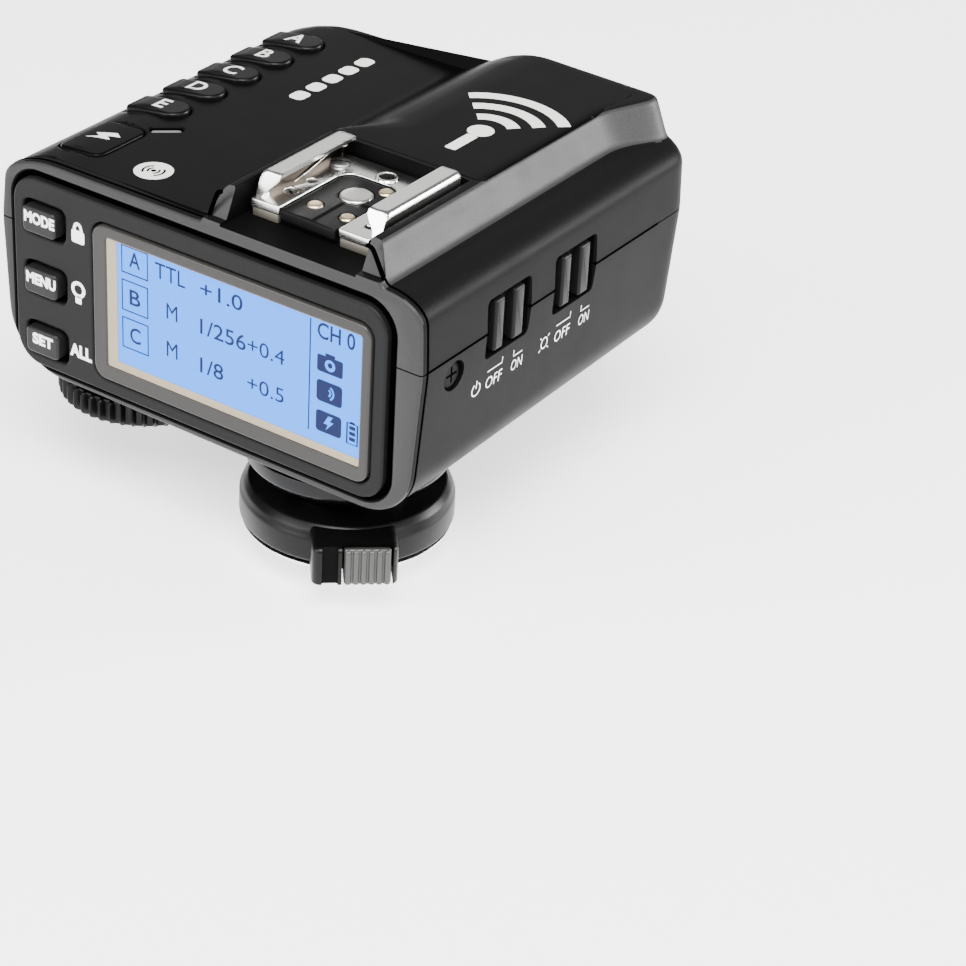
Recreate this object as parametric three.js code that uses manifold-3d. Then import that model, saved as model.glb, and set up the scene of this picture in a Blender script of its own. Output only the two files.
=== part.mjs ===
// Wireless flash trigger, millimetres. Origin: axis of the accessory foot at the underside of its plate.
// +Z up, +Y towards the subject, +X to the right of somebody looking at the display, which faces -Y.
import * as THREE from 'three';
import { mergeVertices } from 'three/addons/utils/BufferGeometryUtils.js';
import Module from 'manifold-3d';

const wasm = await Module();
wasm.setup();

// ---- driving dimensions -----------------------------------------------------------------------------
const LEFT = -49.9;              // casing's widest points, at the parting plane
const RIGHT = 22.1;
const REAR = -15;                // rear rim's face
const FRONT = 51.4;              // front wall at its side edges
const FRONT_CROWN = 1.1;         // how far the front wall bows out in its middle
const PARTING = 39.6;            // height of the joint between the shells
const SEAM = 0.1;                // half of the gap left at that joint
const WALL = 1.5;
const PLATEAU = 50;              // top face left of the hump
const HUMP = 54.9;               // top face of the hump that carries the shoe
const FLOOR_RISE = 0.9;          // how much the underside climbs from rear to front
const GAP = 0.3;                 // clearance between pieces that lie against each other

const SHOE = {
  plateTop: 52.9, sheet: 1, railTop: 56.1, outer: 10.3, lip: 7.2, rear: -7.4, front: 9.4, baseRadius: 0.6,
  tabs: [[-9.3, -5.5], [4.1, 9.2]], tabReach: 2.2, mouth: { x0: -5.5, x1: 4.1, front: 5.1, radius: 2.2 },
};
const SHOE_PAD = {
  x0: -5.2, x1: 3.8, reach: 2.4, front: 4.8, squareFront: -3, radius: 2, z0: 51.6, z1: 52.75,
};
const SHOE_BASE = { half: 9, reach: 1.8, front: 9 };
const SHOE_CONTACT = {
  mainRadius: 2.3, sideRadius: 1.1, foot: 51.3, mainTop: 52.85, sideTop: 52.9, play: 0.1,
};
const SHOE_SCREW = {
  places: [[-7.4, 6.2], [7.4, 6.2], [-7.4, -4.6], [7.4, -4.6]],
  shank: 0.7, head: 1.5, headTop: 1.3, tip: 50.9, hole: 0.85, slot: 0.15, slotDepth: 0.25, lift: 0.08,
  height: 0.5,
};
const LEAF = {
  x: 8.35, half: 0.7, sheet: 0.2, path: [[-2.8, 53.12], [1, 53.9], [5.4, 54.75], [8.8, 54.2]],
};
const RECESS = { half: 11.1, front: 9.9, floor: 50.3, wall: 1.5 };
const CHEEK_RAKE = { foot: -13.6, top: -11.2, z0: 50.7, z1: 56 };
const CONTACTS = [[-2.6, -5.6], [2.7, -5.6], [2.4, 3.4]];
const PIN_HOLE = 5.9;            // distance of the safety pin's hole in front of the centre contact

const PANEL = { x0: -47.4, x1: 16.6, z0: 17.7, z1: 47.3, r: 4.2, rear: -15.3, front: -13.1 };
// the groove round the panel is uneven
const PANEL_OPENING = { right: 1.2, top: 1, radius: 0.6, depth: 4 };
const WINDOW = { x0: -33.3, x1: 14.25, z0: 20, z1: 44.2, r: 2.2, rear: -15.55, depth: 1.1 };
const VIEW = { x0: -31.2, x1: 12.2, z0: 22, z1: 42.1, r: 1 };
const DISPLAY = { margin: 1, radius: 0.4, rear: -12.7, front: -9.4 };

const REAR_KEYS = {
  x: -42.5, w: 6, h: 4, r: 0.8, z: [41.2, 31.8, 22.3], proud: 0.8, clearance: 0.7, clearanceZ: 0.45,
  stem: 1, stemLength: 1.6,
};
const GROUP_KEYS = { x0: -46.2, x1: -37.8, w: 5, y: [40.5, 32.9, 25.2, 17.4, 9.5], proud: 0.7 };
const TEST_KEY = { x0: -44.9, x1: -37.2, y0: -9.1, y1: 1.7, r: 1.6, proud: 0.6 };
const KEY_FLOOR = 46.6;          // lowest point of the top keys
const LAMP = { x: -36, y: 4, length: 4.4, width: 1.1, r: 0.5, turn: 41, clearance: 0.25, floor: 47.5 };
const INLAY = {
  x0: -46.6, x1: 13.2, neck: -13.3, rear: -13.2, step: 10.4, front: 49.2, overlap: 6.7,
  rearRadius: 2, stepRadius: 1.5, thick: 0.9, clearance: 0.15, floor: 46.5,
};

const SWITCH = {
  z: 40.3, h: 8, travelSlot: 10, y: [4.95, 21.05], slotRadius: 0.7, slotDepth: 4, knob: 7, clearance: 0.35,
  baseDepth: 2.6, ribFoot: 1.2, ribWidth: 2.5, ribProud: 0.1, stem: 0.8, stemDepth: 4.6,
};
const SWITCH_BODY = {
  rear: 9, front: 3, half: 4.5, tall: 2.3, slotRear: 4.9, slotHalf: 2.6, slotTall: 1.1,
};
const SCREW = {
  y: -7.3, z: 36.4, r: 1.9, shank: 0.8, length: 7, sunk: 0.7, cone: [-1.4, -0.4], cross: 1.2, arm: 0.22,
  deep: 0.9,
};

const DIAL = {
  x: -34.5, y: -2.3, r: 12.8, z0: 12.1, z1: 15.9, ridges: 54, groove: 0.7, hub: 5.4, hubTop: 19.4,
  bore: 1.6, dish: 9.5, dishFloor: 8.9, dishDepth: 0.8,
};
const ENCODER = { half: 5, z0: 19.9, z1: 23.5, shaft: 1.5 };

const COLLAR = { r: 14.6, z0: 12.9, z1: 16.1, bevel: 0.8 };
const NECK = { r: 9.2, z0: 2.5, foot: 6.1, footTop: 4, top: 19.4, inShell: 9.1 };
const RING = {
  r: 15.2, inner: 9.7, z0: 3.45, z1: 9.6, lowBevel: 0.5, topBevel: 0.9,
  lugAngle: -50, lugReach: 19.2, lugHalf: 5.9, lugRadius: 1.2, lugDrop: 0.3,
};
const WASHER = { r: 14.9, z0: 3, z1: 3.35 };
const RELEASE = {
  t0: -1.5, t1: 4.9, z0: 3.6, z1: 8.1, root: 14.7, pocket: 13, reach: 19.5, ribs: 4, ribShare: 0.7,
  ribDepth: 0.5,
};
const FOOT = {
  w: 18.6, l: 18, t: 1.9, r: 1.2, neckTop: 2.3, well: { half: 4.2, rear: -7.4, front: 4.4, r: 1.5 },
};
const FOOT_PAD = { half: 4, rear: -7.2, front: 4.2, r: 1.4, z0: 0.05, z1: 2.25 };
const FOOT_CONTACT = {
  mainBore: 2.2, bore: 1.15, boreTop: 7.2, pinBoreTop: 9, main: 2, side: 0.95, top: 5.4, nose: 0.35,
  noseShare: 0.6,
};
const REACH = { main: 0.55, side: 0.5, pin: 1.3 };    // how far the foot's pins stand out below it

const CELL = {
  r: 7.1, length: 49.2, nub: 1, nubRadius: 2.7, bevel: 0.4, shift: 0.3, x: -12.9, z: 26.2,
  y: [26.9, 41.7],
};
const CELL_SPRING = {
  outline: [[0, 0], [4, 0], [4, 0.8], [3.3, 1], [3.4, 1.7], [2.6, 1.9], [2.7, 2.5], [0, 2.5]],
  stand: 3.1,
};
const CELL_BRIDGE = { x0: -41.6, x1: -41.1, y0: 20.5, y1: 48, tall: 6 };
const DOOR = { x0: -38.6, x1: 12.8, y0: 18.6, y1: 47.4, top: 18.4, relief: 0.6, holeTop: 22 };
const HINGE = {
  x: -12.9, y: 47.6, z: 18.6, r: 0.8, bore: 0.86, reach: 1.55, knuckle: 3, knucklePlace: 5,
  web: [3, 0.4], webZ: [1.4, 0.9], pinHalf: 27.2, boreHalf: 27.6, lug: 2, lugHalf: 1.5, lugFoot: 17.6, lugTop: 1.6,
};

const ASSIST = { x0: -13, x1: 13, z0: 41.3, z1: 49.3, r: 3, thick: 1.3, rear: 6, front: 4 };
const ASSIST_LAMP = {
  z: 45.2, outline: [[0, 43], [2.9, 43], [2.9, 44], [2.5, 44.2], [2.5, 46], [1.8, 47.4], [0, 48]],
};
const USB = {
  y: 9, z: 31, half: 4.45, tall: 1.55, r: 1.5, sheet: 0.3, face: 0.9, length: 7.1, tongue: [2, 7.5],
  tongueHalf: 3.2, tongueTall: 0.35,
};
const JACK = { y: -4, z: 31, r: 2.9, bore: 1.3, face: 0.5, length: 10, boreLength: 8 };
const PORT_CLEARANCE = 0.25;

const MAIN_BOARD = {
  x0: -45.5, x1: 11.8, y0: -8.3, y1: 16.8, r: 1, z0: 36.4, z1: 38, notch: [-20, -8], notchDepth: 2.3,
};
const KEY_BOARD = { x0: -47, x1: -34.5, y0: -8, y1: 44, z0: 43.3, z1: 44.5 };
const RADIO = {
  x0: -20, x1: -4, y0: 18, y1: 34, z0: 41, sheet: 0.9, can: { inset: 1.5, front: 4.5, top: 44.2 },
};

// ---- materials --------------------------------------------------------------------------------------
const finish = (color, roughness, metalness = 0) =>
  new THREE.MeshStandardMaterial({ color, roughness, metalness });
const LOOK = {
  shell: finish(0x2b2b2c, 0.6),
  panel: finish(0x47474a, 0.55),
  gloss: finish(0x151516, 0.3),
  key: finish(0x1c1c1d, 0.5),
  grey: finish(0x6b6b6c, 0.5),
  metal: finish(0xd8d6d2, 0.25, 1),
  brass: finish(0xc9a45a, 0.35, 1),
  screen: finish(0x8fc0f5, 0.3),
  glass: finish(0x2c3138, 0.1),
  red: finish(0x3a0708, 0.15),
  board: finish(0x1d5a37, 0.6),
  cell: finish(0x35506e, 0.4),
};

// ---- booleans and small shapes ----------------------------------------------------------------------
const FINEST = 0.004;            // details smaller than this are merged away

function solid(geometry) {
  const bare = geometry.clone();
  bare.deleteAttribute('normal');
  bare.deleteAttribute('uv');
  const merged = mergeVertices(bare, 1e-4);
  const mesh = new wasm.Mesh({
    numProp: 3,
    vertProperties: new Float32Array(merged.attributes.position.array),
    triVerts: new Uint32Array(merged.index.array),
  });
  mesh.merge();
  return new wasm.Manifold(mesh);
}

function geometryOf(manifold) {
  const mesh = manifold.simplify(FINEST).getMesh();
  const geometry = new THREE.BufferGeometry();
  geometry.setAttribute('position', new THREE.BufferAttribute(new Float32Array(mesh.vertProperties), 3));
  geometry.setIndex(new THREE.BufferAttribute(new Uint32Array(mesh.triVerts), 1));
  geometry.computeVertexNormals();
  return geometry;
}

const join = (first, ...others) => others.reduce((sum, item) => sum.add(item), first);
const cut = (first, ...others) => others.reduce((rest, item) => rest.subtract(item), first);

function box(x0, x1, y0, y1, z0, z1) {
  const geometry = new THREE.BoxGeometry(x1 - x0, y1 - y0, z1 - z0);
  return solid(geometry.translate((x0 + x1) / 2, (y0 + y1) / 2, (z0 + z1) / 2));
}

// a disc or tube about +Z, from a half section of [radius, height] points that closes on itself
function turned(points, segments = 32, x = 0, y = 0) {
  const outline = points.map(([r, z]) => new THREE.Vector2(r, z));
  if (points[0][0] > 0) outline.push(outline[0].clone());
  const geometry = new THREE.LatheGeometry(outline, segments);
  return solid(geometry.rotateX(Math.PI / 2).translate(x, y, 0));
}

const FINE = 20;                 // sides of the rounder bores and pins

function disc(r, z0, z1, x = 0, y = 0, segments = 16) {
  return turned([[0, z0], [r, z0], [r, z1], [0, z1]], segments, x, y);
}

const tube = (r0, r1, z0, z1) => turned([[r0, z0], [r1, z0], [r1, z1], [r0, z1]]);

// lays an item that was made about Z over, so that it runs along X
const alongX = (item) => item.rotate([0, 90, 0]);

function roundedOutline(x0, x1, y0, y1, r) {
  const shape = new THREE.Shape();
  shape.moveTo(x0 + r, y0);
  shape.lineTo(x1 - r, y0);
  shape.absarc(x1 - r, y0 + r, r, -Math.PI / 2, 0);
  shape.lineTo(x1, y1 - r);
  shape.absarc(x1 - r, y1 - r, r, 0, Math.PI / 2);
  shape.lineTo(x0 + r, y1);
  shape.absarc(x0 + r, y1 - r, r, Math.PI / 2, Math.PI);
  shape.lineTo(x0, y0 + r);
  shape.absarc(x0 + r, y0 + r, r, Math.PI, Math.PI * 1.5);
  return shape;
}

const CURVE_STEPS = 3;
const extrude = (shape, depth) => new THREE.ExtrudeGeometry(shape, {
  depth, bevelEnabled: false, curveSegments: CURVE_STEPS,
});

// a rounded plate that stands upright, its outline in X and Z
function upright(x0, x1, z0, z1, r, y0, y1) {
  const geometry = extrude(roundedOutline(x0, x1, z0, z1, r), y1 - y0);
  return solid(geometry.rotateX(Math.PI / 2).translate(0, y1, 0));
}

// a rounded plate that lies flat, its outline in X and Y
function flat(x0, x1, y0, y1, r, z0, z1) {
  return solid(extrude(roundedOutline(x0, x1, y0, y1, r), z1 - z0).translate(0, 0, z0));
}

// a prism whose outline lies in Y and Z and runs along X
const SIDEWAYS = new THREE.Matrix4().makeBasis(
  new THREE.Vector3(0, 1, 0), new THREE.Vector3(0, 0, 1), new THREE.Vector3(1, 0, 0));

function sideways(shape, x0, x1) {
  return solid(extrude(shape, x1 - x0).applyMatrix4(SIDEWAYS).translate(x0, 0, 0));
}

const polygon = (points) => new THREE.Shape(points.map(([a, b]) => new THREE.Vector2(a, b)));

// ---- the casing's skin: one loft from rear to front -------------------------------------------------
const DEG = Math.PI / 180;
const mix = (a, b, t) => a + (b - a) * t;

function smooth(from, to, value) {
  const t = Math.min(1, Math.max(0, (value - from) / (to - from)));
  return t * t * (3 - 2 * t);
}

function arc(cx, cz, rx, rz, from, to, steps) {
  const points = [];
  for (let i = 0; i <= steps; i += 1) {
    const angle = mix(from, to, i / steps) * DEG;
    points.push([cx + rx * Math.cos(angle), cz + rz * Math.sin(angle)]);
  }
  return points;
}

const SHOULDER = { x: 15.2, z: 46.2, rx: 6.6, rz: 3.9 };
// edge between the hump's right flank and its top
const BROW = [[13.2, 54.1], [12.8, 54.7], [12, HUMP]];
const LEFT_TOP = { x: -40, z: 45.6, rx: 9.3, rz: 4.35 };
const LEFT_FOOT = { x: -39.5, z: 26, rx: 9.7, rz: 9.2 };
const RIGHT_FOOT = { x: 13, z: 24.4, rx: 7.9, rz: 8 };
// the hump widens over the shoulder towards the front
const FLARE = {
  most: 3.4, from: 38, to: 50,
};
const FLANK = { steepTo: 10, gentleFrom: 21 };                 // its left flank eases in front of the shoe
const STEEP = [[-11.6, 54.9], [-12.3, 54.8], [-12.8, 54.2], [-13.3, 52.8], [-13.8, 51.4], [-14.3, PLATEAU]];
const GENTLE = [[-4.6, 54.9], [-7.2, 54.6], [-10.4, 53.6], [-12.8, 52.4], [-14.9, 51.1], [-16.6, PLATEAU]];

// outline of the cross-section at y, going anticlockwise from the right end of the parting plane
function crossSection(y) {
  const flare = FLARE.most * smooth(FLARE.from, FLARE.to, y);
  const wallBase = Math.acos(Math.min(1, flare / SHOULDER.rx)) / DEG;
  const gentle = smooth(FLANK.steepTo, FLANK.gentleFrom, y);
  const flank = STEEP.map(([x, z], i) => [mix(x, GENTLE[i][0], gentle), mix(z, GENTLE[i][1], gentle)]);
  return [
    [RIGHT, PARTING],
    ...arc(SHOULDER.x, SHOULDER.z, SHOULDER.rx, SHOULDER.rz, 0, wallBase, 4),
    ...BROW.map(([x, z]) => [x + flare, z]),
    ...flank,
    ...arc(LEFT_TOP.x, LEFT_TOP.z, LEFT_TOP.rx, LEFT_TOP.rz, 90, 180, 5),
    [LEFT, PARTING],
    ...arc(LEFT_FOOT.x, LEFT_FOOT.z, LEFT_FOOT.rx, LEFT_FOOT.rz, 180, 270, 4),
    ...arc(RIGHT_FOOT.x, RIGHT_FOOT.z, RIGHT_FOOT.rx, RIGHT_FOOT.rz, 270, 360, 4),
  ];
}

const PARALLEL = 0.02;            // sides that turn less than this count as one

// moves every side of an outline inwards by the same distance
function inset(outline, distance) {
  const count = outline.length;
  const lines = outline.map(([x, z], i) => {
    const [nextX, nextZ] = outline[(i + 1) % count];
    const length = Math.hypot(nextX - x, nextZ - z);
    const normal = [-(nextZ - z) / length, (nextX - x) / length];
    return {
      x: x + normal[0] * distance,
      z: z + normal[1] * distance,
      dx: (nextX - x) / length,
      dz: (nextZ - z) / length,
    };
  });
  return outline.map((_, i) => {
    const before = lines[(i + count - 1) % count];
    const after = lines[i];
    const cross = before.dx * after.dz - before.dz * after.dx;
    if (Math.abs(cross) < PARALLEL) return [after.x, after.z];
    const along = ((after.x - before.x) * after.dz - (after.z - before.z) * after.dx) / cross;
    return [before.x + before.dx * along, before.z + before.dz * along];
  });
}

// how far a rounded edge of radius r lies inside the sharp one, at distance d from its end
function quarter(r, d) {
  const left = r - Math.min(r, Math.max(0, d));
  return r - Math.sqrt(r * r - left * left);
}

const CORNERS = {
  left: 7, right: 4, top: 2.2, bottom: 2.6, rim: 0.5, overTop: 7, overBottom: 16, crownFrom: 36,
};

// rounds an outline's place in the loft: plan corners at the front, edges at both ends, rising floor
function settle([x, z], y, rear, front) {
  const toFront = front - y;
  const toRear = y - rear;
  const u = (x - LEFT) / (RIGHT - LEFT);
  const rim = quarter(CORNERS.rim, toRear);
  const toRight = quarter(CORNERS.left, toFront) + rim;
  const toLeft = quarter(CORNERS.right, toFront) + rim;
  const shiftX = toRight * (1 - u) - toLeft * u;
  const up = Math.min(1, Math.max(0, (z - PARTING) / CORNERS.overTop));
  const down = Math.min(1, Math.max(0, (PARTING - z) / CORNERS.overBottom));
  const rise = FLOOR_RISE * (y - REAR) / (FRONT - REAR);
  const lift = quarter(CORNERS.bottom, toFront) + rim + rise;
  const drop = quarter(CORNERS.top, toFront) + rim;
  const shiftZ = down * lift - up * drop;
  const crown = FRONT_CROWN * smooth(CORNERS.crownFrom, FRONT, y) * (1 - (2 * u - 1) ** 2);
  return new THREE.Vector3(x + shiftX, y + crown, z + shiftZ);
}

function loft(rings, firstCentre, lastCentre) {
  const count = rings[0].length;
  const positions = [];
  rings.flat().forEach((p) => positions.push(p.x, p.y, p.z));
  const first = rings.length * count;
  [firstCentre, lastCentre].forEach((p) => positions.push(p.x, p.y, p.z));
  const index = [];
  for (let i = 0; i < count; i += 1) {
    const next = (i + 1) % count;
    for (let k = 0; k + 1 < rings.length; k += 1) {
      const a = k * count;
      const b = a + count;
      index.push(a + i, b + i, a + next, a + next, b + i, b + next);
    }
    const last = (rings.length - 1) * count;
    index.push(first, i, next, first + 1, last + next, last + i);
  }
  const geometry = new THREE.BufferGeometry();
  geometry.setAttribute('position', new THREE.Float32BufferAttribute(positions, 3));
  geometry.setIndex(index);
  return geometry;
}

const DEPTH = FRONT - REAR;
const STATIONS = [0, 0.5, 15, 24.5, 28.5, 32, 36, 50, 55, 59, 61.5, 63.5, 65, 66, DEPTH];
const INNER_STATIONS = [0, 24.5, 31, 36, 50, 58, 62, 64.5, DEPTH];
const MIDDLE = [-12, 40];

function skin(depth, rear, front, stations) {
  const rings = stations.map((distance) => {
    const y = mix(rear, front, distance / DEPTH);
    const outline = crossSection(y);
    return (depth ? inset(outline, depth) : outline).map((p) => settle(p, y, rear, front));
  });
  return solid(loft(rings, settle(MIDDLE, rear, rear, front), settle(MIDDLE, front, rear, front)));
}

const FAR = 90;                  // beyond every wall of the casing
const REAR_EXTRA = 0.6;          // how much thicker the rear rim is than the walls
const outer = skin(0, REAR, FRONT, STATIONS);
const cavity = skin(WALL, REAR + WALL + REAR_EXTRA, FRONT - WALL, INNER_STATIONS);
const above = (z) => box(-FAR, FAR, -FAR, FAR, z, FAR);
const below = (z) => box(-FAR, FAR, -FAR, FAR, -FAR, z);

// ---- tools that several pieces are cut with ---------------------------------------------------------
const rearOpening = upright(PANEL.x0 - GAP, PANEL.x1 + PANEL_OPENING.right, PANEL.z0 - GAP,
  PANEL.z1 + PANEL_OPENING.top, PANEL.r + PANEL_OPENING.radius, REAR - 1, REAR + PANEL_OPENING.depth);
const shoeRecess = box(-RECESS.half, RECESS.half, REAR - 1, RECESS.front, RECESS.floor, FAR);
const rakedCheeks = sideways(polygon([[REAR - 1, CHEEK_RAKE.z0], [CHEEK_RAKE.foot, CHEEK_RAKE.z0],
  [CHEEK_RAKE.top, CHEEK_RAKE.z1], [REAR - 1, CHEEK_RAKE.z1]]), -2 * RECESS.half, 2 * RECESS.half);
const TOP = { z0: 40, z1: 60 };  // heights between which the tools for the top pass through

function sideSlots(grow) {
  return SWITCH.y.map((y) => sideways(
    roundedOutline(y - SWITCH.travelSlot / 2 - grow, y + SWITCH.travelSlot / 2 + grow,
      SWITCH.z - SWITCH.h / 2 - grow, SWITCH.z + SWITCH.h / 2 + grow, SWITCH.slotRadius),
    RIGHT - SWITCH.slotDepth, RIGHT + 2));
}

function groupKeyPrism(y, grow) {
  const half = GROUP_KEYS.w / 2 + grow;
  const shape = new THREE.Shape();
  shape.moveTo(LEFT, y - half);
  shape.lineTo(GROUP_KEYS.x1 - half + grow, y - half);
  shape.absarc(GROUP_KEYS.x1 - half + grow, y, half, -Math.PI / 2, Math.PI / 2);
  shape.lineTo(LEFT, y + half);
  const whole = solid(extrude(shape, TOP.z1 - TOP.z0).translate(0, 0, TOP.z0));
  return whole.intersect(box(GROUP_KEYS.x0 - grow, FAR, -FAR, FAR, TOP.z0, TOP.z1));
}

function testKeyPrism(grow) {
  return flat(TEST_KEY.x0 - grow, TEST_KEY.x1 + grow, TEST_KEY.y0 - grow, TEST_KEY.y1 + grow, TEST_KEY.r,
    TOP.z0, TOP.z1);
}

function lampPrism(grow) {
  const w = LAMP.length / 2 + grow;
  const h = LAMP.width / 2 + grow;
  return flat(-w, w, -h, h, LAMP.r, TOP.z0, TOP.z1).rotate([0, 0, LAMP.turn]).translate([LAMP.x,
      LAMP.y, 0]);
}

function keyHoles() {
  return join(testKeyPrism(GAP), lampPrism(LAMP.clearance), ...GROUP_KEYS.y.map((y) => groupKeyPrism(y,
      GAP)));
}

// ---- casing -----------------------------------------------------------------------------------------
// the outer skin lowered, which gives a skin of even thickness when it is cut away
const lowered = (depth) => outer.translate([0, 0, -depth]);

// the inlay's outline seen from above, grown for the pocket that it lies in
function inlayPrism(grow) {
  const { x0, x1, neck, rear, step, front, overlap, rearRadius, stepRadius } = INLAY;
  const left = flat(x0 - grow, neck + grow, rear - grow, front + grow, rearRadius, TOP.z0, TOP.z1);
  const forward = flat(neck - overlap, x1 + grow, step - grow, front + grow, stepRadius, TOP.z0, TOP.z1);
  return left.add(forward);
}

function topShell() {
  const upper = outer.intersect(above(PARTING + SEAM));
  const hollow = cut(upper, cavity, rearOpening);
  const half = RECESS.half + RECESS.wall;
  const trough = outer.intersect(box(-half, half, REAR + 0.2, RECESS.front + RECESS.wall,
      RECESS.floor - WALL, FAR));
  const { thick, clearance } = INLAY;
  const pocket = inlayPrism(clearance).intersect(cut(above(INLAY.floor - 0.5), lowered(thick + clearance)));
  const withTrough = cut(join(hollow, cut(trough, rearOpening)), shoeRecess, rakedCheeks);
  return cut(withTrough, pocket, keyHoles(), ...sideSlots(0), assistHole(GAP));
}

function topInlay() {
  const slab = cut(inlayPrism(0).intersect(outer), lowered(INLAY.thick));
  return cut(slab, box(-RECESS.half - GAP, RECESS.half + GAP, -FAR, RECESS.front + GAP, TOP.z0, FAR),
      keyHoles())
    .intersect(above(INLAY.floor));
}

function assistHole(grow) {
  return upright(ASSIST.x0 - grow, ASSIST.x1 + grow, ASSIST.z0 - grow, ASSIST.z1 + grow, ASSIST.r,
    FRONT - ASSIST.rear, FRONT + ASSIST.front);
}

// a flat slot with rounded ends, smaller or larger than the USB shell
const usbOutline = (grow) => roundedOutline(USB.y - USB.half - grow, USB.y + USB.half + grow,
  USB.z - USB.tall - grow, USB.z + USB.tall + grow, USB.r + grow);

const portHoles = () => [
  sideways(usbOutline(PORT_CLEARANCE), LEFT - 2, LEFT + 4),
  alongX(disc(JACK.r + GAP, 0, 6)).translate([LEFT - 2, JACK.y, JACK.z]),
];

const screwHole = () => alongX(disc(SCREW.r + GAP, 0, 8)).translate([RIGHT - 5, SCREW.y, SCREW.z]);

// a pin or bore on the door's hinge line, centred between its ends
const hingeRod = (r, half, x = HINGE.x) =>
  alongX(disc(r, -half, half, 0, 0, FINE)).translate([x, HINGE.y, HINGE.z]);

function bottomShell() {
  const lower = outer.intersect(below(PARTING - SEAM));
  const doorHole = box(DOOR.x0 - GAP, DOOR.x1 + GAP, DOOR.y0 - GAP, HINGE.y + HINGE.reach + GAP, 10,
      DOOR.holeTop);
  const lugs = [DOOR.x0 - GAP - HINGE.lug, DOOR.x1 + GAP].map((x) => box(x, x + HINGE.lug,
    HINGE.y - HINGE.lugHalf, HINGE.y + HINGE.lugHalf, HINGE.lugFoot, HINGE.z + HINGE.lugTop));
  const pinBore = hingeRod(HINGE.bore, HINGE.boreHalf);
  const dialHole = disc(DIAL.hub + GAP, 10, 20, DIAL.x, DIAL.y);
  const footHole = disc(NECK.r + 0.2, 10, 20);
  return cut(join(cut(lower, cavity), ...lugs), rearOpening, doorHole, pinBore, dialHole, footHole,
    ...sideSlots(0), ...portHoles(), screwHole());
}

function batteryDoor() {
  const plate = outer.intersect(box(DOOR.x0, DOOR.x1, DOOR.y0, DOOR.y1 - DOOR.relief, 10, DOOR.top));
  const { knuckle, knucklePlace, web, webZ } = HINGE;
  const knuckles = [DOOR.x0 + knucklePlace, DOOR.x1 - knucklePlace].map((x) => join(
    hingeRod(HINGE.reach, knuckle, x),
    box(x - knuckle, x + knuckle, DOOR.y1 - web[0], HINGE.y - web[1], DOOR.top - webZ[0],
        DOOR.top + webZ[1])));
  return cut(join(plate, ...knuckles), hingeRod(HINGE.bore, FAR));
}

const doorPin = () => hingeRod(HINGE.r, HINGE.pinHalf);

function rearPanel() {
  const plate = upright(PANEL.x0, PANEL.x1, PANEL.z0, PANEL.z1, PANEL.r, PANEL.rear, PANEL.front);
  const seat = upright(WINDOW.x0 - GAP, WINDOW.x1 + GAP, WINDOW.z0 - GAP, WINDOW.z1 + GAP, WINDOW.r,
    PANEL.rear - 1, WINDOW.rear + WINDOW.depth + GAP);
  const view = upright(VIEW.x0, VIEW.x1, VIEW.z0, VIEW.z1, VIEW.r, PANEL.rear - 1, PANEL.front + 1);
  const { x, w, h, r, clearance, clearanceZ, z } = REAR_KEYS;
  const holes = z.map((level) => upright(x - w / 2 - clearance, x + w / 2 + clearance,
    level - h / 2 - clearanceZ, level + h / 2 + clearanceZ, r + 0.1, PANEL.rear - 1, PANEL.front + 1));
  return cut(plate, seat, view, ...holes);
}

const displayWindow = () => upright(WINDOW.x0, WINDOW.x1, WINDOW.z0, WINDOW.z1, WINDOW.r,
  WINDOW.rear, WINDOW.rear + WINDOW.depth);
const displayModule = () => upright(VIEW.x0 - DISPLAY.margin, VIEW.x1 + DISPLAY.margin,
  VIEW.z0 - DISPLAY.margin, VIEW.z1 + DISPLAY.margin, DISPLAY.radius, DISPLAY.rear, DISPLAY.front);

// front window: follows the bowed front wall
function assistWindow() {
  return cut(assistHole(0).intersect(outer), outer.translate([0, -ASSIST.thick, 0]));
}

// ---- keys -------------------------------------------------------------------------------------------
const raised = (proud) => outer.translate([0, 0, proud]).intersect(above(KEY_FLOOR));

function groupKey(y) {
  return groupKeyPrism(y, 0).intersect(raised(GROUP_KEYS.proud)).translate([0, -y, 0]);
}

const testKey = () => testKeyPrism(0).intersect(raised(TEST_KEY.proud));
const statusLamp = () => lampPrism(0).intersect(outer.intersect(above(LAMP.floor)));

function rearKey() {
  const { w, h, r, proud, stem: half, stemLength } = REAR_KEYS;
  const cap = upright(-w / 2, w / 2, -h / 2, h / 2, r, PANEL.rear - proud, PANEL.front);
  const stem = box(-half, half, PANEL.front - 0.1, PANEL.front + stemLength, -half, half);
  return cap.add(stem);
}

// ---- slide switches ---------------------------------------------------------------------------------
// ribbed knob with a foot inside the wall
function switchKnob() {
  const { ribWidth, ribFoot, ribProud, baseDepth, stem, stemDepth } = SWITCH;
  const half = SWITCH.knob / 2;
  const tall = SWITCH.h / 2 - SWITCH.clearance;
  const base = box(RIGHT - baseDepth, RIGHT - ribFoot + 0.1, -half, half, -tall, tall);
  const ribs = [-half, half - ribWidth].map((y) =>
    box(RIGHT - ribFoot, RIGHT + ribProud, y, y + ribWidth, -tall, tall));
  const foot = box(RIGHT - stemDepth, RIGHT - baseDepth + 0.1, -stem, stem, -stem, stem);
  return join(base, ...ribs, foot);
}

function switchBody() {
  const { rear, front, half, tall, slotRear, slotHalf, slotTall } = SWITCH_BODY;
  const body = box(RIGHT - rear, RIGHT - front, -half, half, -tall, tall);
  return cut(body, box(RIGHT - slotRear, RIGHT - front + 1, -slotHalf, slotHalf, -slotTall, slotTall));
}

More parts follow.
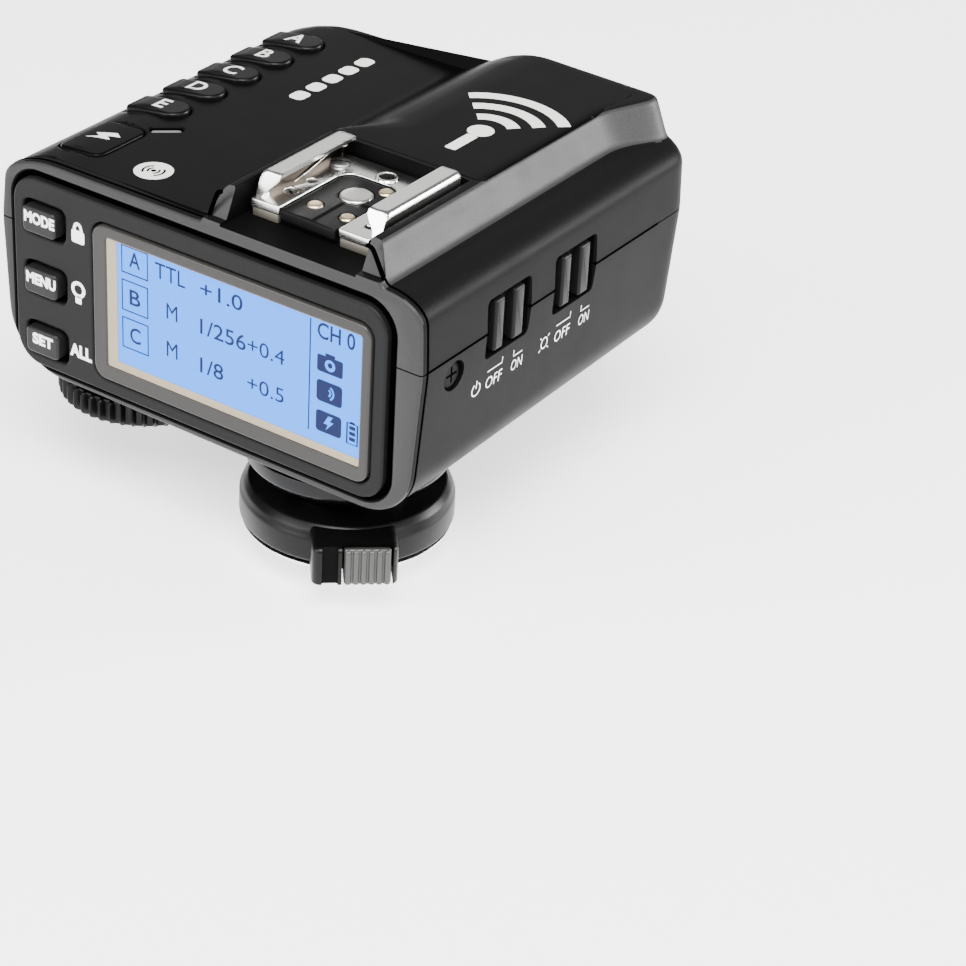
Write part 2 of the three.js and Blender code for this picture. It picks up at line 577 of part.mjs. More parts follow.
// countersunk screw with a cross recess, its head facing +X at the origin
function caseScrew() {
  const { r, shank, length, cone, cross, arm, deep } = SCREW;
  const body = turned([[0, -length], [shank, -length], [shank, cone[0]], [r, cone[1]], [r, 0], [0, 0]], 16);
  const recess = join(box(-cross, cross, -arm, arm, -deep, 1), box(-arm, arm, -cross, cross, -deep, 1));
  return alongX(cut(body, recess));
}

// ---- select dial ------------------------------------------------------------------------------------
function dialOutline() {
  const shape = new THREE.Shape();
  const steps = DIAL.ridges * 2;
  for (let i = 0; i < steps; i += 1) {
    const r = i % 2 ? DIAL.r - DIAL.groove : DIAL.r;
    const angle = i / steps * Math.PI * 2;
    const method = i ? 'lineTo' : 'moveTo';
    shape[method](r * Math.cos(angle), r * Math.sin(angle));
  }
  return shape;
}

function selectDial() {
  const wheel = solid(extrude(dialOutline(), DIAL.z1 - DIAL.z0).translate(0, 0, DIAL.z0));
  const { dish: rim, dishFloor, dishDepth } = DIAL;
  const dish = turned([[0, DIAL.z0 - 1], [rim, DIAL.z0 - 1], [dishFloor, DIAL.z0 + dishDepth],
    [0, DIAL.z0 + dishDepth]], 24);
  const hub = disc(DIAL.hub, DIAL.z1 - 0.1, DIAL.hubTop);
  const bore = disc(DIAL.bore, DIAL.z1 - 0.4, DIAL.hubTop + 1);
  return cut(join(wheel, hub), dish, bore);
}

function dialEncoder() {
  const { half, z0, z1, shaft } = ENCODER;
  return join(box(-half, half, -half, half, z0, z1), disc(shaft, DIAL.z1, z0 + 0.1, 0, 0, FINE));
}

// ---- pass-through shoe ------------------------------------------------------------------------------
function shoePlate() {
  const { plateTop, sheet, railTop, outer: half, lip, rear, front, tabs, tabReach, mouth } = SHOE;
  const underside = plateTop - sheet;
  const base = flat(-half, half, rear + 0.6, front, SHOE.baseRadius, underside, plateTop);
  const tongues = tabs.map(([x0, x1]) => box(x0, x1, rear - tabReach, rear + 1, underside, plateTop));
  const rails = [[-half, -half + sheet, -lip], [half, half - sheet, lip]].flatMap(([edge, inner, end]) => [
    box(Math.min(edge, inner), Math.max(edge, inner), rear, front, underside, railTop),
    box(Math.min(edge, end), Math.max(edge, end), rear, front, railTop - sheet, railTop),
  ]);
  const opening = join(flat(mouth.x0, mouth.x1, rear - 5, mouth.front, mouth.radius, TOP.z0, TOP.z1),
    box(mouth.x0, mouth.x1, rear - 5, 0, TOP.z0, TOP.z1));
  const holes = SHOE_SCREW.places.map(([x, y]) => disc(SHOE_SCREW.hole, TOP.z0, railTop - sheet - 1, x, y));
  const pinHole = disc(1.3, TOP.z0, TOP.z1, 0, PIN_HOLE + 0.9, 24);
  return cut(join(base, ...tongues, ...rails), opening, pinHole, ...holes);
}

function shoeInsulator() {
  const { x0, x1, reach, front, squareFront, radius, z0, z1 } = SHOE_PAD;
  const { mainRadius, sideRadius, foot, play } = SHOE_CONTACT;
  const pad = flat(x0, x1, SHOE.rear - reach, front, radius, z0, z1);
  const rearPad = box(x0, x1, SHOE.rear - reach, squareFront, z0, z1);
  const base = box(-SHOE_BASE.half, SHOE_BASE.half, SHOE.rear - SHOE_BASE.reach, SHOE_BASE.front,
    RECESS.floor + GAP, z0 + 0.01);
  const well = (r, x, y) => disc(r + play, foot - play, TOP.z1, x, y, FINE);
  const wells = [well(mainRadius, 0, 0), ...CONTACTS.map(([x, y]) => well(sideRadius, x, y))];
  const screws = SHOE_SCREW.places.map(([x, y]) => disc(SHOE_SCREW.hole, TOP.z0, TOP.z1, x, y));
  return cut(join(pad, rearPad, base), ...wells, ...screws);
}

// contact with a small bevel round its top
function contactDisc(r, z0, z1) {
  return turned([[0, z0], [r, z0], [r, z1 - 0.15], [r - 0.25, z1], [0, z1]], 16);
}

function shoeScrew() {
  const { shank, head, headTop, tip, slot, slotDepth, lift, height } = SHOE_SCREW;
  const seat = SHOE.plateTop + lift;
  const top = SHOE.plateTop + height;
  const body = turned([[0, tip], [shank, tip], [shank, seat], [head, seat], [headTop, top], [0, top]], 12);
  return cut(body, box(-0.9, 0.9, -slot, slot, top - slotDepth, TOP.z1));
}

// bowed leaf that presses a foot up against the lips
function leafSpring() {
  const upper = LEAF.path.map(([y, z]) => [y, z + LEAF.sheet]).reverse();
  return sideways(polygon([...LEAF.path, ...upper]), -LEAF.half, LEAF.half);
}

// ---- foot -------------------------------------------------------------------------------------------
function contactBores(z0, z1) {
  const { mainBore, bore } = FOOT_CONTACT;
  return [disc(mainBore, z0, z1, 0, 0, FINE), ...CONTACTS.map(([x, y]) => disc(bore, z0, z1, x, y, FINE))];
}

function footBase() {
  const { r, z0, z1, bevel } = COLLAR;
  const { z0: low, foot, footTop, top, inShell } = NECK;
  const body = turned([[0, low], [foot, low], [foot, footTop], [NECK.r, footTop], [NECK.r, z0],
      [r - bevel, z0],
    [r, z0 + bevel], [r, z1], [inShell, z1], [inShell, top], [0, top]], 36);
  const pinBore = disc(FOOT_CONTACT.bore, 0, FOOT_CONTACT.pinBoreTop, 0, PIN_HOLE, FINE);
  return cut(body, ...contactBores(0, FOOT_CONTACT.boreTop), pinBore);
}

function footPlate() {
  const { w, l, t, r, neckTop, well } = FOOT;
  const plate = flat(-w / 2, w / 2, -l / 2, l / 2, r, 0, t);
  const neck = disc(NECK.foot, t - 0.1, neckTop, 0, 0, 2 * FINE);
  const opening = flat(-well.half, well.half, well.rear, well.front, well.r, -1, 10);
  return cut(plate.add(neck), opening, disc(FOOT_CONTACT.bore, -1, 10, 0, PIN_HOLE, FINE));
}

function footInsulator() {
  const { half, rear, front, r, z0, z1 } = FOOT_PAD;
  return cut(flat(-half, half, rear, front, r, z0, z1), ...contactBores(-1, 10));
}

// sprung pin with a blunt nose, which hangs below the foot by its reach
function springPin(r, reach) {
  const { nose, noseShare, top } = FOOT_CONTACT;
  return turned([[0, -reach], [r * noseShare, -reach], [r, -reach + nose], [r, top], [0, top]], 14);
}

const clampWasher = () => tube(RING.inner, WASHER.r, WASHER.z0, WASHER.z1);

// block in the lug's own directions: t across it, r outwards from the foot's axis
function lugBox(t0, t1, r0, r1, z0, z1) {
  return box(r0, r1, t0, t1, z0, z1).rotate([0, 0, RING.lugAngle]);
}

function lockRing() {
  const { r, inner, z0, z1, lowBevel, topBevel, lugHalf, lugReach, lugRadius, lugDrop } = RING;
  const hoop = turned([[inner, z0], [r - lowBevel, z0], [r, z0 + lowBevel], [r, z1 - topBevel],
    [r - topBevel, z1], [inner, z1]], 40);
  const lug = flat(inner + 1, lugReach, -lugHalf, lugHalf, lugRadius, z0, z1 - lugDrop)
    .rotate([0, 0, RING.lugAngle]);
  const { t0, t1, pocket } = RELEASE;
  const hollow = lugBox(t0 - GAP, t1 + GAP, pocket, 2 * r, RELEASE.z0 - GAP - 1, RELEASE.z1 + GAP);
  return cut(hoop.add(lug), hollow);
}

function releaseButton() {
  const { t0, t1, z0, z1, root, reach, ribs: count, ribShare, ribDepth } = RELEASE;
  const block = lugBox(t0, t1, root, reach - ribDepth, z0, z1);
  const pitch = (t1 - t0) / count;
  const margin = (1 - ribShare) / 2;
  const ribs = Array.from({ length: count }, (_, i) => lugBox(t0 + pitch * (i + margin),
    t0 + pitch * (i + 1 - margin), reach - ribDepth - 0.1, reach, z0, z1));
  return join(block, ...ribs);
}

// ---- power ------------------------------------------------------------------------------------------
function cell() {
  const { r, nub, nubRadius, bevel } = CELL;
  const half = CELL.length / 2;
  return alongX(turned([[0, -half], [r - bevel, -half], [r, -half + bevel], [r, half - bevel],
    [r - bevel, half], [nubRadius, half], [nubRadius, half + nub], [0, half + nub]], FINE));
}

// conical coil spring, drawn as the ribbed cone that its turns fill
const batterySpring = () => alongX(turned(CELL_SPRING.outline, 12));

function cellBridge() {
  const { x0, x1, y0, y1, tall } = CELL_BRIDGE;
  return box(x0, x1, y0, y1, CELL.z - tall, CELL.z + tall);
}

// ---- electronics ------------------------------------------------------------------------------------
function mainBoard() {
  const { x0, x1, y0, y1, r, z0, z1, notch, notchDepth } = MAIN_BOARD;
  return cut(flat(x0, x1, y0, y1, r, z0, z1), box(notch[0], notch[1], y0 - 1, y0 + notchDepth, z0 - 1,
      z1 + 1));
}

function keyBoard() {
  const { x0, x1, y0, y1, z0, z1 } = KEY_BOARD;
  return box(x0, x1, y0, y1, z0, z1);
}

// small board with a screening can on it
function radioModule() {
  const { x0, x1, y0, y1, z0, sheet, can } = RADIO;
  const lid = box(x0 + can.inset, x1 - can.inset, y0 + can.inset, y1 - can.front, z0 + sheet - 0.1,
      can.top);
  return join(box(x0, x1, y0, y1, z0, z0 + sheet), lid);
}

function usbSocket() {
  const { y, z, sheet, face, length, tongue, tongueHalf, tongueTall } = USB;
  const shell = sideways(usbOutline(0), LEFT + face, LEFT + face + length);
  const mouth = sideways(usbOutline(-sheet), LEFT, LEFT + face + length - 1.5);
  return join(cut(shell, mouth), box(LEFT + tongue[0], LEFT + tongue[1], y - tongueHalf, y + tongueHalf,
    z - tongueTall, z + tongueTall));
}

function syncSocket() {
  const { y, z, r, bore, face, length, boreLength } = JACK;
  return cut(alongX(disc(r, 0, length)), alongX(disc(bore, -1, boreLength, 0, 0,
      FINE))).translate([LEFT + face, y, z]);
}

const assistLamp = () => turned(ASSIST_LAMP.outline, 14).rotate([-90, 0, 0]);

// ---- assembly ---------------------------------------------------------------------------------------
const trigger = new THREE.Group();

function add(name, manifold, material, x = 0, y = 0, z = 0) {
  const mesh = new THREE.Mesh(geometryOf(manifold), material);
  mesh.name = name;
  mesh.position.set(x, y, z);
  trigger.add(mesh);
  return mesh;
}

add('top_shell', topShell(), LOOK.shell);
add('bottom_shell', bottomShell(), LOOK.shell);
add('top_inlay', topInlay(), LOOK.gloss);
add('rear_panel', rearPanel(), LOOK.panel);
add('display_window', displayWindow(), LOOK.glass);
add('display_module', displayModule(), LOOK.screen);
add('assist_window', assistWindow(), LOOK.red);
add('status_lamp', statusLamp(), LOOK.grey);

['a', 'b', 'c', 'd', 'e'].forEach((letter, i) => {
  const y = GROUP_KEYS.y[i];
  add(`group_key_${letter}`, groupKey(y), LOOK.key, 0, y);
});
add('test_key', testKey(), LOOK.key);
['mode_key', 'menu_key', 'set_key'].forEach((name, i) => {
  add(name, rearKey(), LOOK.key, REAR_KEYS.x, 0, REAR_KEYS.z[i]);
});
['power', 'assist'].forEach((name, i) => {
  add(`${name}_switch_knob`, switchKnob(), LOOK.grey, 0, SWITCH.y[i], SWITCH.z);
  add(`${name}_switch_body`, switchBody(), LOOK.key, 0, SWITCH.y[i], SWITCH.z);
});
add('select_dial', selectDial(), LOOK.key, DIAL.x, DIAL.y);
add('dial_encoder', dialEncoder(), LOOK.grey, DIAL.x, DIAL.y);
add('case_screw', caseScrew(), LOOK.metal, RIGHT - SCREW.sunk, SCREW.y, SCREW.z);

add('shoe_plate', shoePlate(), LOOK.metal);
add('shoe_insulator', shoeInsulator(), LOOK.key);
const { mainRadius, sideRadius, foot: contactFoot, mainTop, sideTop } = SHOE_CONTACT;
add('shoe_contact_main', contactDisc(mainRadius, contactFoot, mainTop), LOOK.metal);
CONTACTS.forEach(([x, y], i) => {
  add(`shoe_contact_${i + 1}`, contactDisc(sideRadius, contactFoot, sideTop), LOOK.brass, x, y);
});
add('shoe_spring_left', leafSpring(), LOOK.metal, -LEAF.x);
add('shoe_spring_right', leafSpring(), LOOK.metal, LEAF.x);
SHOE_SCREW.places.forEach(([x, y], i) => add(`shoe_screw_${i + 1}`, shoeScrew(), LOOK.metal, x, y));

add('foot_base', footBase(), LOOK.shell);
add('foot_plate', footPlate(), LOOK.metal);
add('foot_insulator', footInsulator(), LOOK.key);
add('foot_contact_main', springPin(FOOT_CONTACT.main, REACH.main), LOOK.brass);
CONTACTS.forEach(([x, y], i) => {
  add(`foot_contact_${i + 1}`, springPin(FOOT_CONTACT.side, REACH.side), LOOK.brass, x, y);
});
add('lock_pin', springPin(FOOT_CONTACT.side, REACH.pin), LOOK.metal, 0, PIN_HOLE);
add('clamp_washer', clampWasher(), LOOK.metal);
add('lock_ring', lockRing(), LOOK.shell);
add('release_button', releaseButton(), LOOK.grey);

// the cells lie in opposite directions, each with its spring behind its flat end
CELL.y.forEach((y, i) => {
  const way = i ? -1 : 1;
  const turn = i ? Math.PI : 0;
  add(`cell_${i + 1}`, cell(), LOOK.cell, CELL.x - way * CELL.shift, y, CELL.z).rotation.z = turn;
  const springX = CELL.x - way * (CELL.length / 2 + CELL_SPRING.stand);
  add(`cell_spring_${i + 1}`, batterySpring(), LOOK.metal, springX, y, CELL.z).rotation.z = turn;
});
add('cell_bridge', cellBridge(), LOOK.metal);
add('battery_door', batteryDoor(), LOOK.shell);
add('door_pin', doorPin(), LOOK.metal);

add('main_board', mainBoard(), LOOK.board);
add('key_board', keyBoard(), LOOK.board);
add('radio_module', radioModule(), LOOK.board);
add('usb_socket', usbSocket(), LOOK.metal);
add('sync_socket', syncSocket(), LOOK.key);
add('assist_lamp', assistLamp(), LOOK.grey, 0, 0, ASSIST_LAMP.z);

export default trigger;
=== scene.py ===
import math
import random

import bmesh
import bpy
import numpy as np
from mathutils import Matrix, Vector
from mathutils.geometry import delaunay_2d_cdt


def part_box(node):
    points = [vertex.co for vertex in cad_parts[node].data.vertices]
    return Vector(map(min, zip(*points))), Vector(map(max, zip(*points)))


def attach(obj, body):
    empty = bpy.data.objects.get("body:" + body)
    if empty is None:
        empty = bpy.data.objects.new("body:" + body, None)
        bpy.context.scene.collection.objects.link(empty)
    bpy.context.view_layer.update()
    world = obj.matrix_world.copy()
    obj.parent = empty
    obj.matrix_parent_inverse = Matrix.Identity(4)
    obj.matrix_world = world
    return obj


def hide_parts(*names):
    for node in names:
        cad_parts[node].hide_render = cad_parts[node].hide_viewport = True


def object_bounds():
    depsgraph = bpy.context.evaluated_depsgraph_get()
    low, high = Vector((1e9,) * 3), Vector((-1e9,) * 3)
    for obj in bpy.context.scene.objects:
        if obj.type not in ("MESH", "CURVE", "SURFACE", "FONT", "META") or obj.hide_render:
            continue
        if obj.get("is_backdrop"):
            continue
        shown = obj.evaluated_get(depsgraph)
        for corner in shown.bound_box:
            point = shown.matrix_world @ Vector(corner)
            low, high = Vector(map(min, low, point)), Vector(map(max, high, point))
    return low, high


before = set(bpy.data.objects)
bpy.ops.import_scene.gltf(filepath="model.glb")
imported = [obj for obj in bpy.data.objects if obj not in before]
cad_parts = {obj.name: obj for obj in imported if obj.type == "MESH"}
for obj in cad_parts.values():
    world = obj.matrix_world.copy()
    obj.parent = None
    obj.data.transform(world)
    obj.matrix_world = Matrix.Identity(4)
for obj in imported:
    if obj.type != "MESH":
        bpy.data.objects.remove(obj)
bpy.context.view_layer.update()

MM = 0.001
ROOT = "casing"


def mm_box(node):
    """Lowest and highest corner of a CAD node, in millimetres."""
    low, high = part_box(node)
    return np.array(low) / MM, np.array(high) / MM


def middle_of(node):
    """Middle and half size of a CAD node's box."""
    low, high = mm_box(node)
    return (low + high) / 2, (high - low) / 2


# ---- driving dimensions, millimetres ----
shell_low, shell_high = mm_box("bottom_shell")
LEFT, RIGHT = shell_low[0], shell_high[0]
REAR, FRONT = shell_low[1], 51.4
FRONT_CROWN = 1.1
PARTING = shell_high[2] + 0.1
SEAM, WALL, GAP = 0.1, 1.5, 0.3
PLATEAU, HUMP = 50.0, 54.9
FLOOR_RISE = 0.9
FAR = 90

plate_high = mm_box("shoe_plate")[1]
RAIL_OUTER, SHOE_FRONT, RAIL_TOP = plate_high
PLATE_TOP, SHEET = 52.9, 1.0
RAIL_LIP, RAIL_REAR = 7.2, -7.4
RECESS_HALF, RECESS_FRONT, RECESS_FLOOR = 11.1, 9.9, 50.3

TRIM = 0.4  # the display and the panel begin this much further in than their CAD nodes
panel_low, panel_high = mm_box("rear_panel")
window_low, window_high = mm_box("display_window")
panel_low[2] += TRIM
window_low[0] += TRIM
window_low[2] += TRIM
VIEW_X, VIEW_Z = (-30.45, 12.75), (22.75, 42.5)
LIT_X, LIT_Z = (VIEW_X[0] + 1.75, VIEW_X[1] - 0.05), (VIEW_Z[0] + 1.15, VIEW_Z[1] - 0.1)
READOUT_LEFT, READOUT_TOP = -29.1, 42.0
KEY_X, KEY_W, KEY_H = -42.5, 6.0, 4.0
REAR_KEYS = {"mode_key": ("MODE", 5.5), "menu_key": ("MENU", 5.4), "set_key": ("SET", 3.8)}
GROUP_NODES = [f"group_key_{letter}" for letter in "abcde"]
LETTER_X = -41.2
LAMP_X, LAMP_Y, LAMP_TURN = -36.0, 4.0, 41

SWITCH_Z, SWITCH_H, SLOT_LENGTH, SLOT_DROP = 40.3, 8.0, 10.0, 0.75
SWITCH_Y = [middle_of(node)[0][1] for node in ("power_switch_knob", "assist_switch_knob")]
SCREW_Y, SCREW_Z, SCREW_R = -7.3, 36.4, 1.9


# ---- mesh building ----
class Mesh:
    """Vertices in millimetres and faces, collected before they become an object."""

    def __init__(self, points=(), faces=()):
        self.points, self.faces = list(points), list(faces)

    def add(self, points, faces):
        base = len(self.points)
        self.points += [tuple(map(float, p)) for p in points]
        self.faces += [tuple(base + i for i in face) for face in faces]
        return self

    def join(self, other):
        return self.add(other.points, other.faces)

    def mapped(self, place):
        return Mesh([tuple(place(*p)) for p in self.points], self.faces)


def shade(data, smooth):
    data.polygons.foreach_set("use_smooth", [True] * len(data.polygons))
    data.set_sharp_from_angle(angle=math.radians(smooth))


def to_object(name, mesh, *looks, smooth=35, closed=True):
    data = bpy.data.meshes.new(name)
    data.from_pydata([tuple(MM * c for c in p) for p in mesh.points], [], mesh.faces)
    data.update()
    for look in looks:
        data.materials.append(LOOK[look])
    if closed:
        work = bmesh.new()
        work.from_mesh(data)
        bmesh.ops.recalc_face_normals(work, faces=work.faces)
        work.to_mesh(data)
        work.free()
    shade(data, smooth)
    obj = bpy.data.objects.new(name, data)
    bpy.context.scene.collection.objects.link(obj)
    return obj


def piece(name, made, look=None, body=ROOT, node=None, smooth=35, closed=True):
    """Hands an object, or a mesh with its look, to the frame; it may replace a CAD node."""
    if isinstance(made, Mesh):
        made = to_object(name, made, look, smooth=smooth, closed=closed)
    made.name = name
    shade(made.data, smooth)
    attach(made, body)
    if node:
        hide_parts(node)


def printed(name, mesh, look, body=ROOT):
    """Flat marks that lie on a face."""
    piece(name, mesh, look, body, closed=False)


def cut(obj, cutter, look="dark", operation="DIFFERENCE"):
    """Cuts obj with a mesh or an object, which is removed afterwards. The cut takes the cutter's look; the
    default deep black on the walls of holes, slots, grooves and recesses is painted shade.
    """
    if isinstance(cutter, Mesh):
        cutter = to_object("cutter", cutter, look)
    step = obj.modifiers.new("cut", "BOOLEAN")
    step.operation, step.solver, step.object = operation, "EXACT", cutter
    step.material_mode = "TRANSFER"
    graph = bpy.context.evaluated_depsgraph_get()
    data = bpy.data.meshes.new_from_object(obj.evaluated_get(graph))
    obj.modifiers.clear()
    old, obj.data = obj.data, data
    used = cutter.data
    bpy.data.objects.remove(cutter)
    for mesh in (old, used):
        bpy.data.meshes.remove(mesh)
    return obj


# ---- outlines and simple solids ----
def arc(cx, cy, rx, ry, start, end, steps):
    """Points on a stretch of an ellipse, between two angles in degrees."""
    turns = [math.radians(start + (end - start) * k / steps) for k in range(steps + 1)]
    return [(cx + rx * math.cos(a), cy + ry * math.sin(a)) for a in turns]


def circle(cx, cy, r, count=48):
    return arc(cx, cy, r, r, 0, 360, count)[:-1]


def rounded(x0, x1, y0, y1, r, steps=6):
    """Rounded rectangle, anticlockwise from its lower left corner."""
    corners = ((x0 + r, y0 + r, 180), (x1 - r, y0 + r, 270), (x1 - r, y1 - r, 0), (x0 + r, y1 - r, 90))
    return [p for cx, cy, turn in corners for p in arc(cx, cy, r, r, turn, turn + 90, steps)]


def around(low, high, grow, r, steps=6, across=(0, 2)):
    """Rounded rectangle round a box seen along one axis, larger than the box by grow."""
    u, v = across
    return rounded(low[u] - grow, high[u] + grow, low[v] - grow, high[v] + grow, r, steps)


def bend(before, here, after, reach, most, shares):
    """Points at the given shares along the short curve that takes a corner's place."""
    back, on = before - here, after - here
    a = here + back * min(most, reach / max(np.linalg.norm(back), 1e-9))
    b = here + on * min(most, reach / max(np.linalg.norm(on), 1e-9))
    return [tuple((1 - t) ** 2 * a + 2 * t * (1 - t) * here + t * t * b) for t in shares]


def soften(outline, reach=1.2, steps=3):
    """Turns every corner of a closed outline into a short curve."""
    p = np.array(outline, float)
    shares = [(k + 0.5) / steps for k in range(steps)]
    corners = zip(np.roll(p, 1, 0), p, np.roll(p, -1, 0))
    return [q for corner in corners for q in bend(*corner, reach, 0.5, shares)]


def corner_path(corners, steps=8):
    """Closed outline through (x, y, radius) corners, each turned with its own radius."""
    out = []
    for i, (x, y, r) in enumerate(corners):
        here = np.array((x, y), float)
        if r <= 0:
            out.append((x, y))
            continue
        back = np.array(corners[i - 1][:2], float) - here
        on = np.array(corners[(i + 1) % len(corners)][:2], float) - here
        back /= np.linalg.norm(back)
        on /= np.linalg.norm(on)
        half = math.acos(max(-1, min(1, float(back @ on)))) / 2
        centre = here + (back + on) / np.linalg.norm(back + on) * (r / math.sin(half))
        a, b = (here + way * (r / math.tan(half)) - centre for way in (back, on))
        start = math.degrees(math.atan2(a[1], a[0]))
        sweep = math.copysign(180 - 2 * math.degrees(half), a[0] * b[1] - a[1] * b[0])
        out += arc(*centre, r, r, start, start + sweep, steps)
    return out


def inset(outline, distance):
    """Moves an anticlockwise outline inwards, or a clockwise one outwards, by a distance."""
    if not distance:
        return list(outline)
    p = np.array(outline, float)
    on = np.roll(p, -1, 0) - p
    on /= np.maximum(np.linalg.norm(on, axis=1), 1e-9)[:, None]
    both = on + np.roll(on, 1, 0)
    size = np.maximum(np.linalg.norm(both, axis=1), 1e-6)[:, None]
    normal = np.stack([-both[:, 1], both[:, 0]], 1) / size
    stretch = np.clip(size[:, 0] / 2, 0.4, 1)
    return [tuple(q) for q in p + normal * (distance / stretch)[:, None]]


def lofted(rings, capped=True):
    """Skin over rings of equal length, with both ends closed if capped."""
    n, last = len(rings[0]), len(rings) - 1
    faces = [(a + i, a + (i + 1) % n, a + n + (i + 1) % n, a + n + i)
             for a in range(0, n * last, n) for i in range(n)]
    if capped:
        faces += [tuple(range(n))[::-1], tuple(range(last * n, last * n + n))]
    return Mesh().add([p for ring in rings for p in ring], faces)


def prism(outline, levels):
    """Upright solid on a flat outline; levels are (inset, height) pairs from one end to the other."""
    return lofted([[(x, y, h) for x, y in inset(outline, d)] for d, h in levels])


def along_y(outline, *levels):
    """Prism along Y on an outline in X and Z; levels are (inset, y)."""
    return prism(outline, levels).mapped(lambda x, z, y: (x, y, z))


def along_x(outline, *levels):
    """Prism along X on an outline in Y and Z; levels are (inset, x)."""
    return prism(outline, levels).mapped(lambda y, z, x: (x, y, z))


def edge_levels(low, high, r_low, r_high, steps=4):
    """Levels for a prism whose two end edges are rounded."""
    turns = [math.pi / 2 * k / steps for k in range(steps + 1)]
    lower = [(r_low * (1 - math.sin(a)), low + r_low * (1 - math.cos(a))) for a in turns]
    return lower + [(r_high * (1 - math.cos(a)), high - r_high * (1 - math.sin(a))) for a in turns]


def slab(x0, x1, y0, y1, z0, z1):
    """Plain box, for cutting."""
    return prism(rounded(x0, x1, y0, y1, 0.01, 1), [(0, z0), (0, z1)])


def block(x0, x1, y0, y1, z0, z1, r=0.0):
    """Box, with its upright edges rounded if r is given and all its edges slightly eased."""
    soft = min(0.12, (z1 - z0) / 4, (x1 - x0) / 4, (y1 - y0) / 4)
    return prism(rounded(x0, x1, y0, y1, max(r, soft * 1.2), 3 if r else 2), edge_levels(z0, z1, soft, soft, 2))


def turned(profile, count=64, x=0.0, y=0.0, closed=False):
    """Solid of revolution about Z from (radius, height) pairs; closed joins the last pair to the first."""
    points, rings, faces = [], [], []
    for r, z in profile:
        on_axis = r < 1e-6
        rings.append([len(points)] * count if on_axis else list(range(len(points), len(points) + count)))
        points += [(x, y, z)] if on_axis else [(*p, z) for p in circle(x, y, r, count)]
    for a, b in zip(rings, rings[1:] + rings[:1] if closed else rings[1:]):
        for k in range(count):
            n = (k + 1) % count
            face = tuple(dict.fromkeys([a[k], a[n], b[n], b[k]]))
            if len(face) > 2:
                faces.append(face)
    return Mesh().add(points, faces)


def spun(profile, reach=0.3, count=64, x=0.0, y=0.0, closed=False):
    """Solid of revolution whose profile has softened corners between its ends."""
    p = np.array(profile, float)
    shares = [k / 3 for k in range(4)]
    bends = [q for corner in zip(p, p[1:], p[2:]) for q in bend(*corner, reach, 0.45, shares)]
    return turned([tuple(p[0]), *bends, tuple(p[-1])], count, x, y, closed)


def rod(r, z0, z1, count=64, x=0.0, y=0.0):
    return turned([(0, z0), (r, z0), (r, z1), (0, z1)], count, x, y)


def tube(inner, outer, z0, z1, reach, count):
    return spun([(inner, z0), (outer, z0), (outer, z1), (inner, z1)], reach, count, closed=True)


def piping(path, radius, count=8, closed=False):
    """Round wire along a path of points."""
    p = np.array(path, float)
    ahead = np.roll(p, -1, 0) - np.roll(p, 1, 0) if closed else np.gradient(p, axis=0)
    ahead /= np.linalg.norm(ahead, axis=1)[:, None]
    side = np.cross(ahead[0], (0.3, 0.5, 0.8))
    side /= np.linalg.norm(side)
    rings = []
    for here, way in zip(p, ahead):
        side = side - way * (side @ way)
        side /= np.linalg.norm(side)
        up = np.cross(way, side)
        rings.append([tuple(here + a * side + b * up) for a, b in circle(0, 0, radius, count)])
    return lofted(rings + rings[:1] if closed else rings, not closed)


# ---- plates with openings, on flat or curved faces ----
def inside(points, loops):
    """Even-odd test of many points against closed loops."""
    px, py = np.asarray(points, float).T[:2]
    hit = np.zeros(len(px), bool)
    for loop in loops:
        q = np.array(loop, float)
        for (x0, y0), (x1, y1) in zip(q, np.roll(q, -1, 0)):
            crossing = (y0 > py) != (y1 > py)
            if crossing.any() and y0 != y1:
                hit ^= crossing & (px < x0 + (py - y0) * (x1 - x0) / (y1 - y0))
    return hit


def lattice_in(loops, grid):
    """Regular grid of points inside the loops and clear of their corners."""
    (x0, y0), (x1, y1) = np.min(loops[0], 0), np.max(loops[0], 0)
    xs, ys = np.arange(x0 + grid / 2, x1, grid), np.arange(y0 + grid / 2, y1, grid)
    points = np.array([(x, y) for x in xs for y in ys])
    points = points[inside(points, loops)]
    corners = np.array([p for loop in loops for p in loop])
    near = np.array([np.hypot(*(corners - p).T).min() for p in points])
    return points[near > grid * 0.45]


def filled(loops, grid):
    """Points and triangles that fill an outline with holes, with a regular grid of points inside."""
    corners, edges = [], []
    for loop in loops:
        base = len(corners)
        corners += [Vector(p) for p in loop]
        edges += [(base + i, base + (i + 1) % len(loop)) for i in range(len(loop))]
    if grid:
        corners += [Vector(p) for p in lattice_in(loops, grid)]
    points, _, faces = delaunay_2d_cdt(corners, edges, [], 0, 1e-5, False)[:3]
    middles = [((points[a] + points[b] + points[c]) / 3)[:] for a, b, c in faces]
    return points, [face for face, good in zip(faces, inside(middles, loops)) if good]


def anticlockwise(loop):
    x, y = np.array(loop).T
    return np.sum(x * np.roll(y, -1) - np.roll(x, -1) * y) > 0


def plate(loops, place, depth, edge=0.25, grid=0.0, steps=3):
    """Plate with rounded upper edges. The first loop is its outline, the rest are holes.
    place(x, y, drop) gives the point that lies drop below the plate's face."""
    loops = [loop if anticlockwise(loop) == (i == 0) else loop[::-1] for i, loop in enumerate(loops)]
    mesh = Mesh()
    for loop in loops:
        rings = [[(x, y, depth) for x, y in loop]]
        for k in range(steps + 1):
            angle = math.pi / 2 * k / steps
            drop = edge * (1 - math.sin(angle))
            rings.append([(x, y, drop) for x, y in inset(loop, edge * (1 - math.cos(angle)))])
        mesh.join(lofted(rings, False))
    for size, drop in ((edge, 0.0), (0.0, depth)):
        points, faces = filled([inset(loop, size) for loop in loops], grid)
        mesh.add([(p.x, p.y, drop) for p in points], faces)
    return mesh.mapped(place)


def facing_rear(y):
    """Place on a flat face that looks at -Y, for a plate in X and Z."""
    return lambda x, z, drop: (x, y + drop, z)


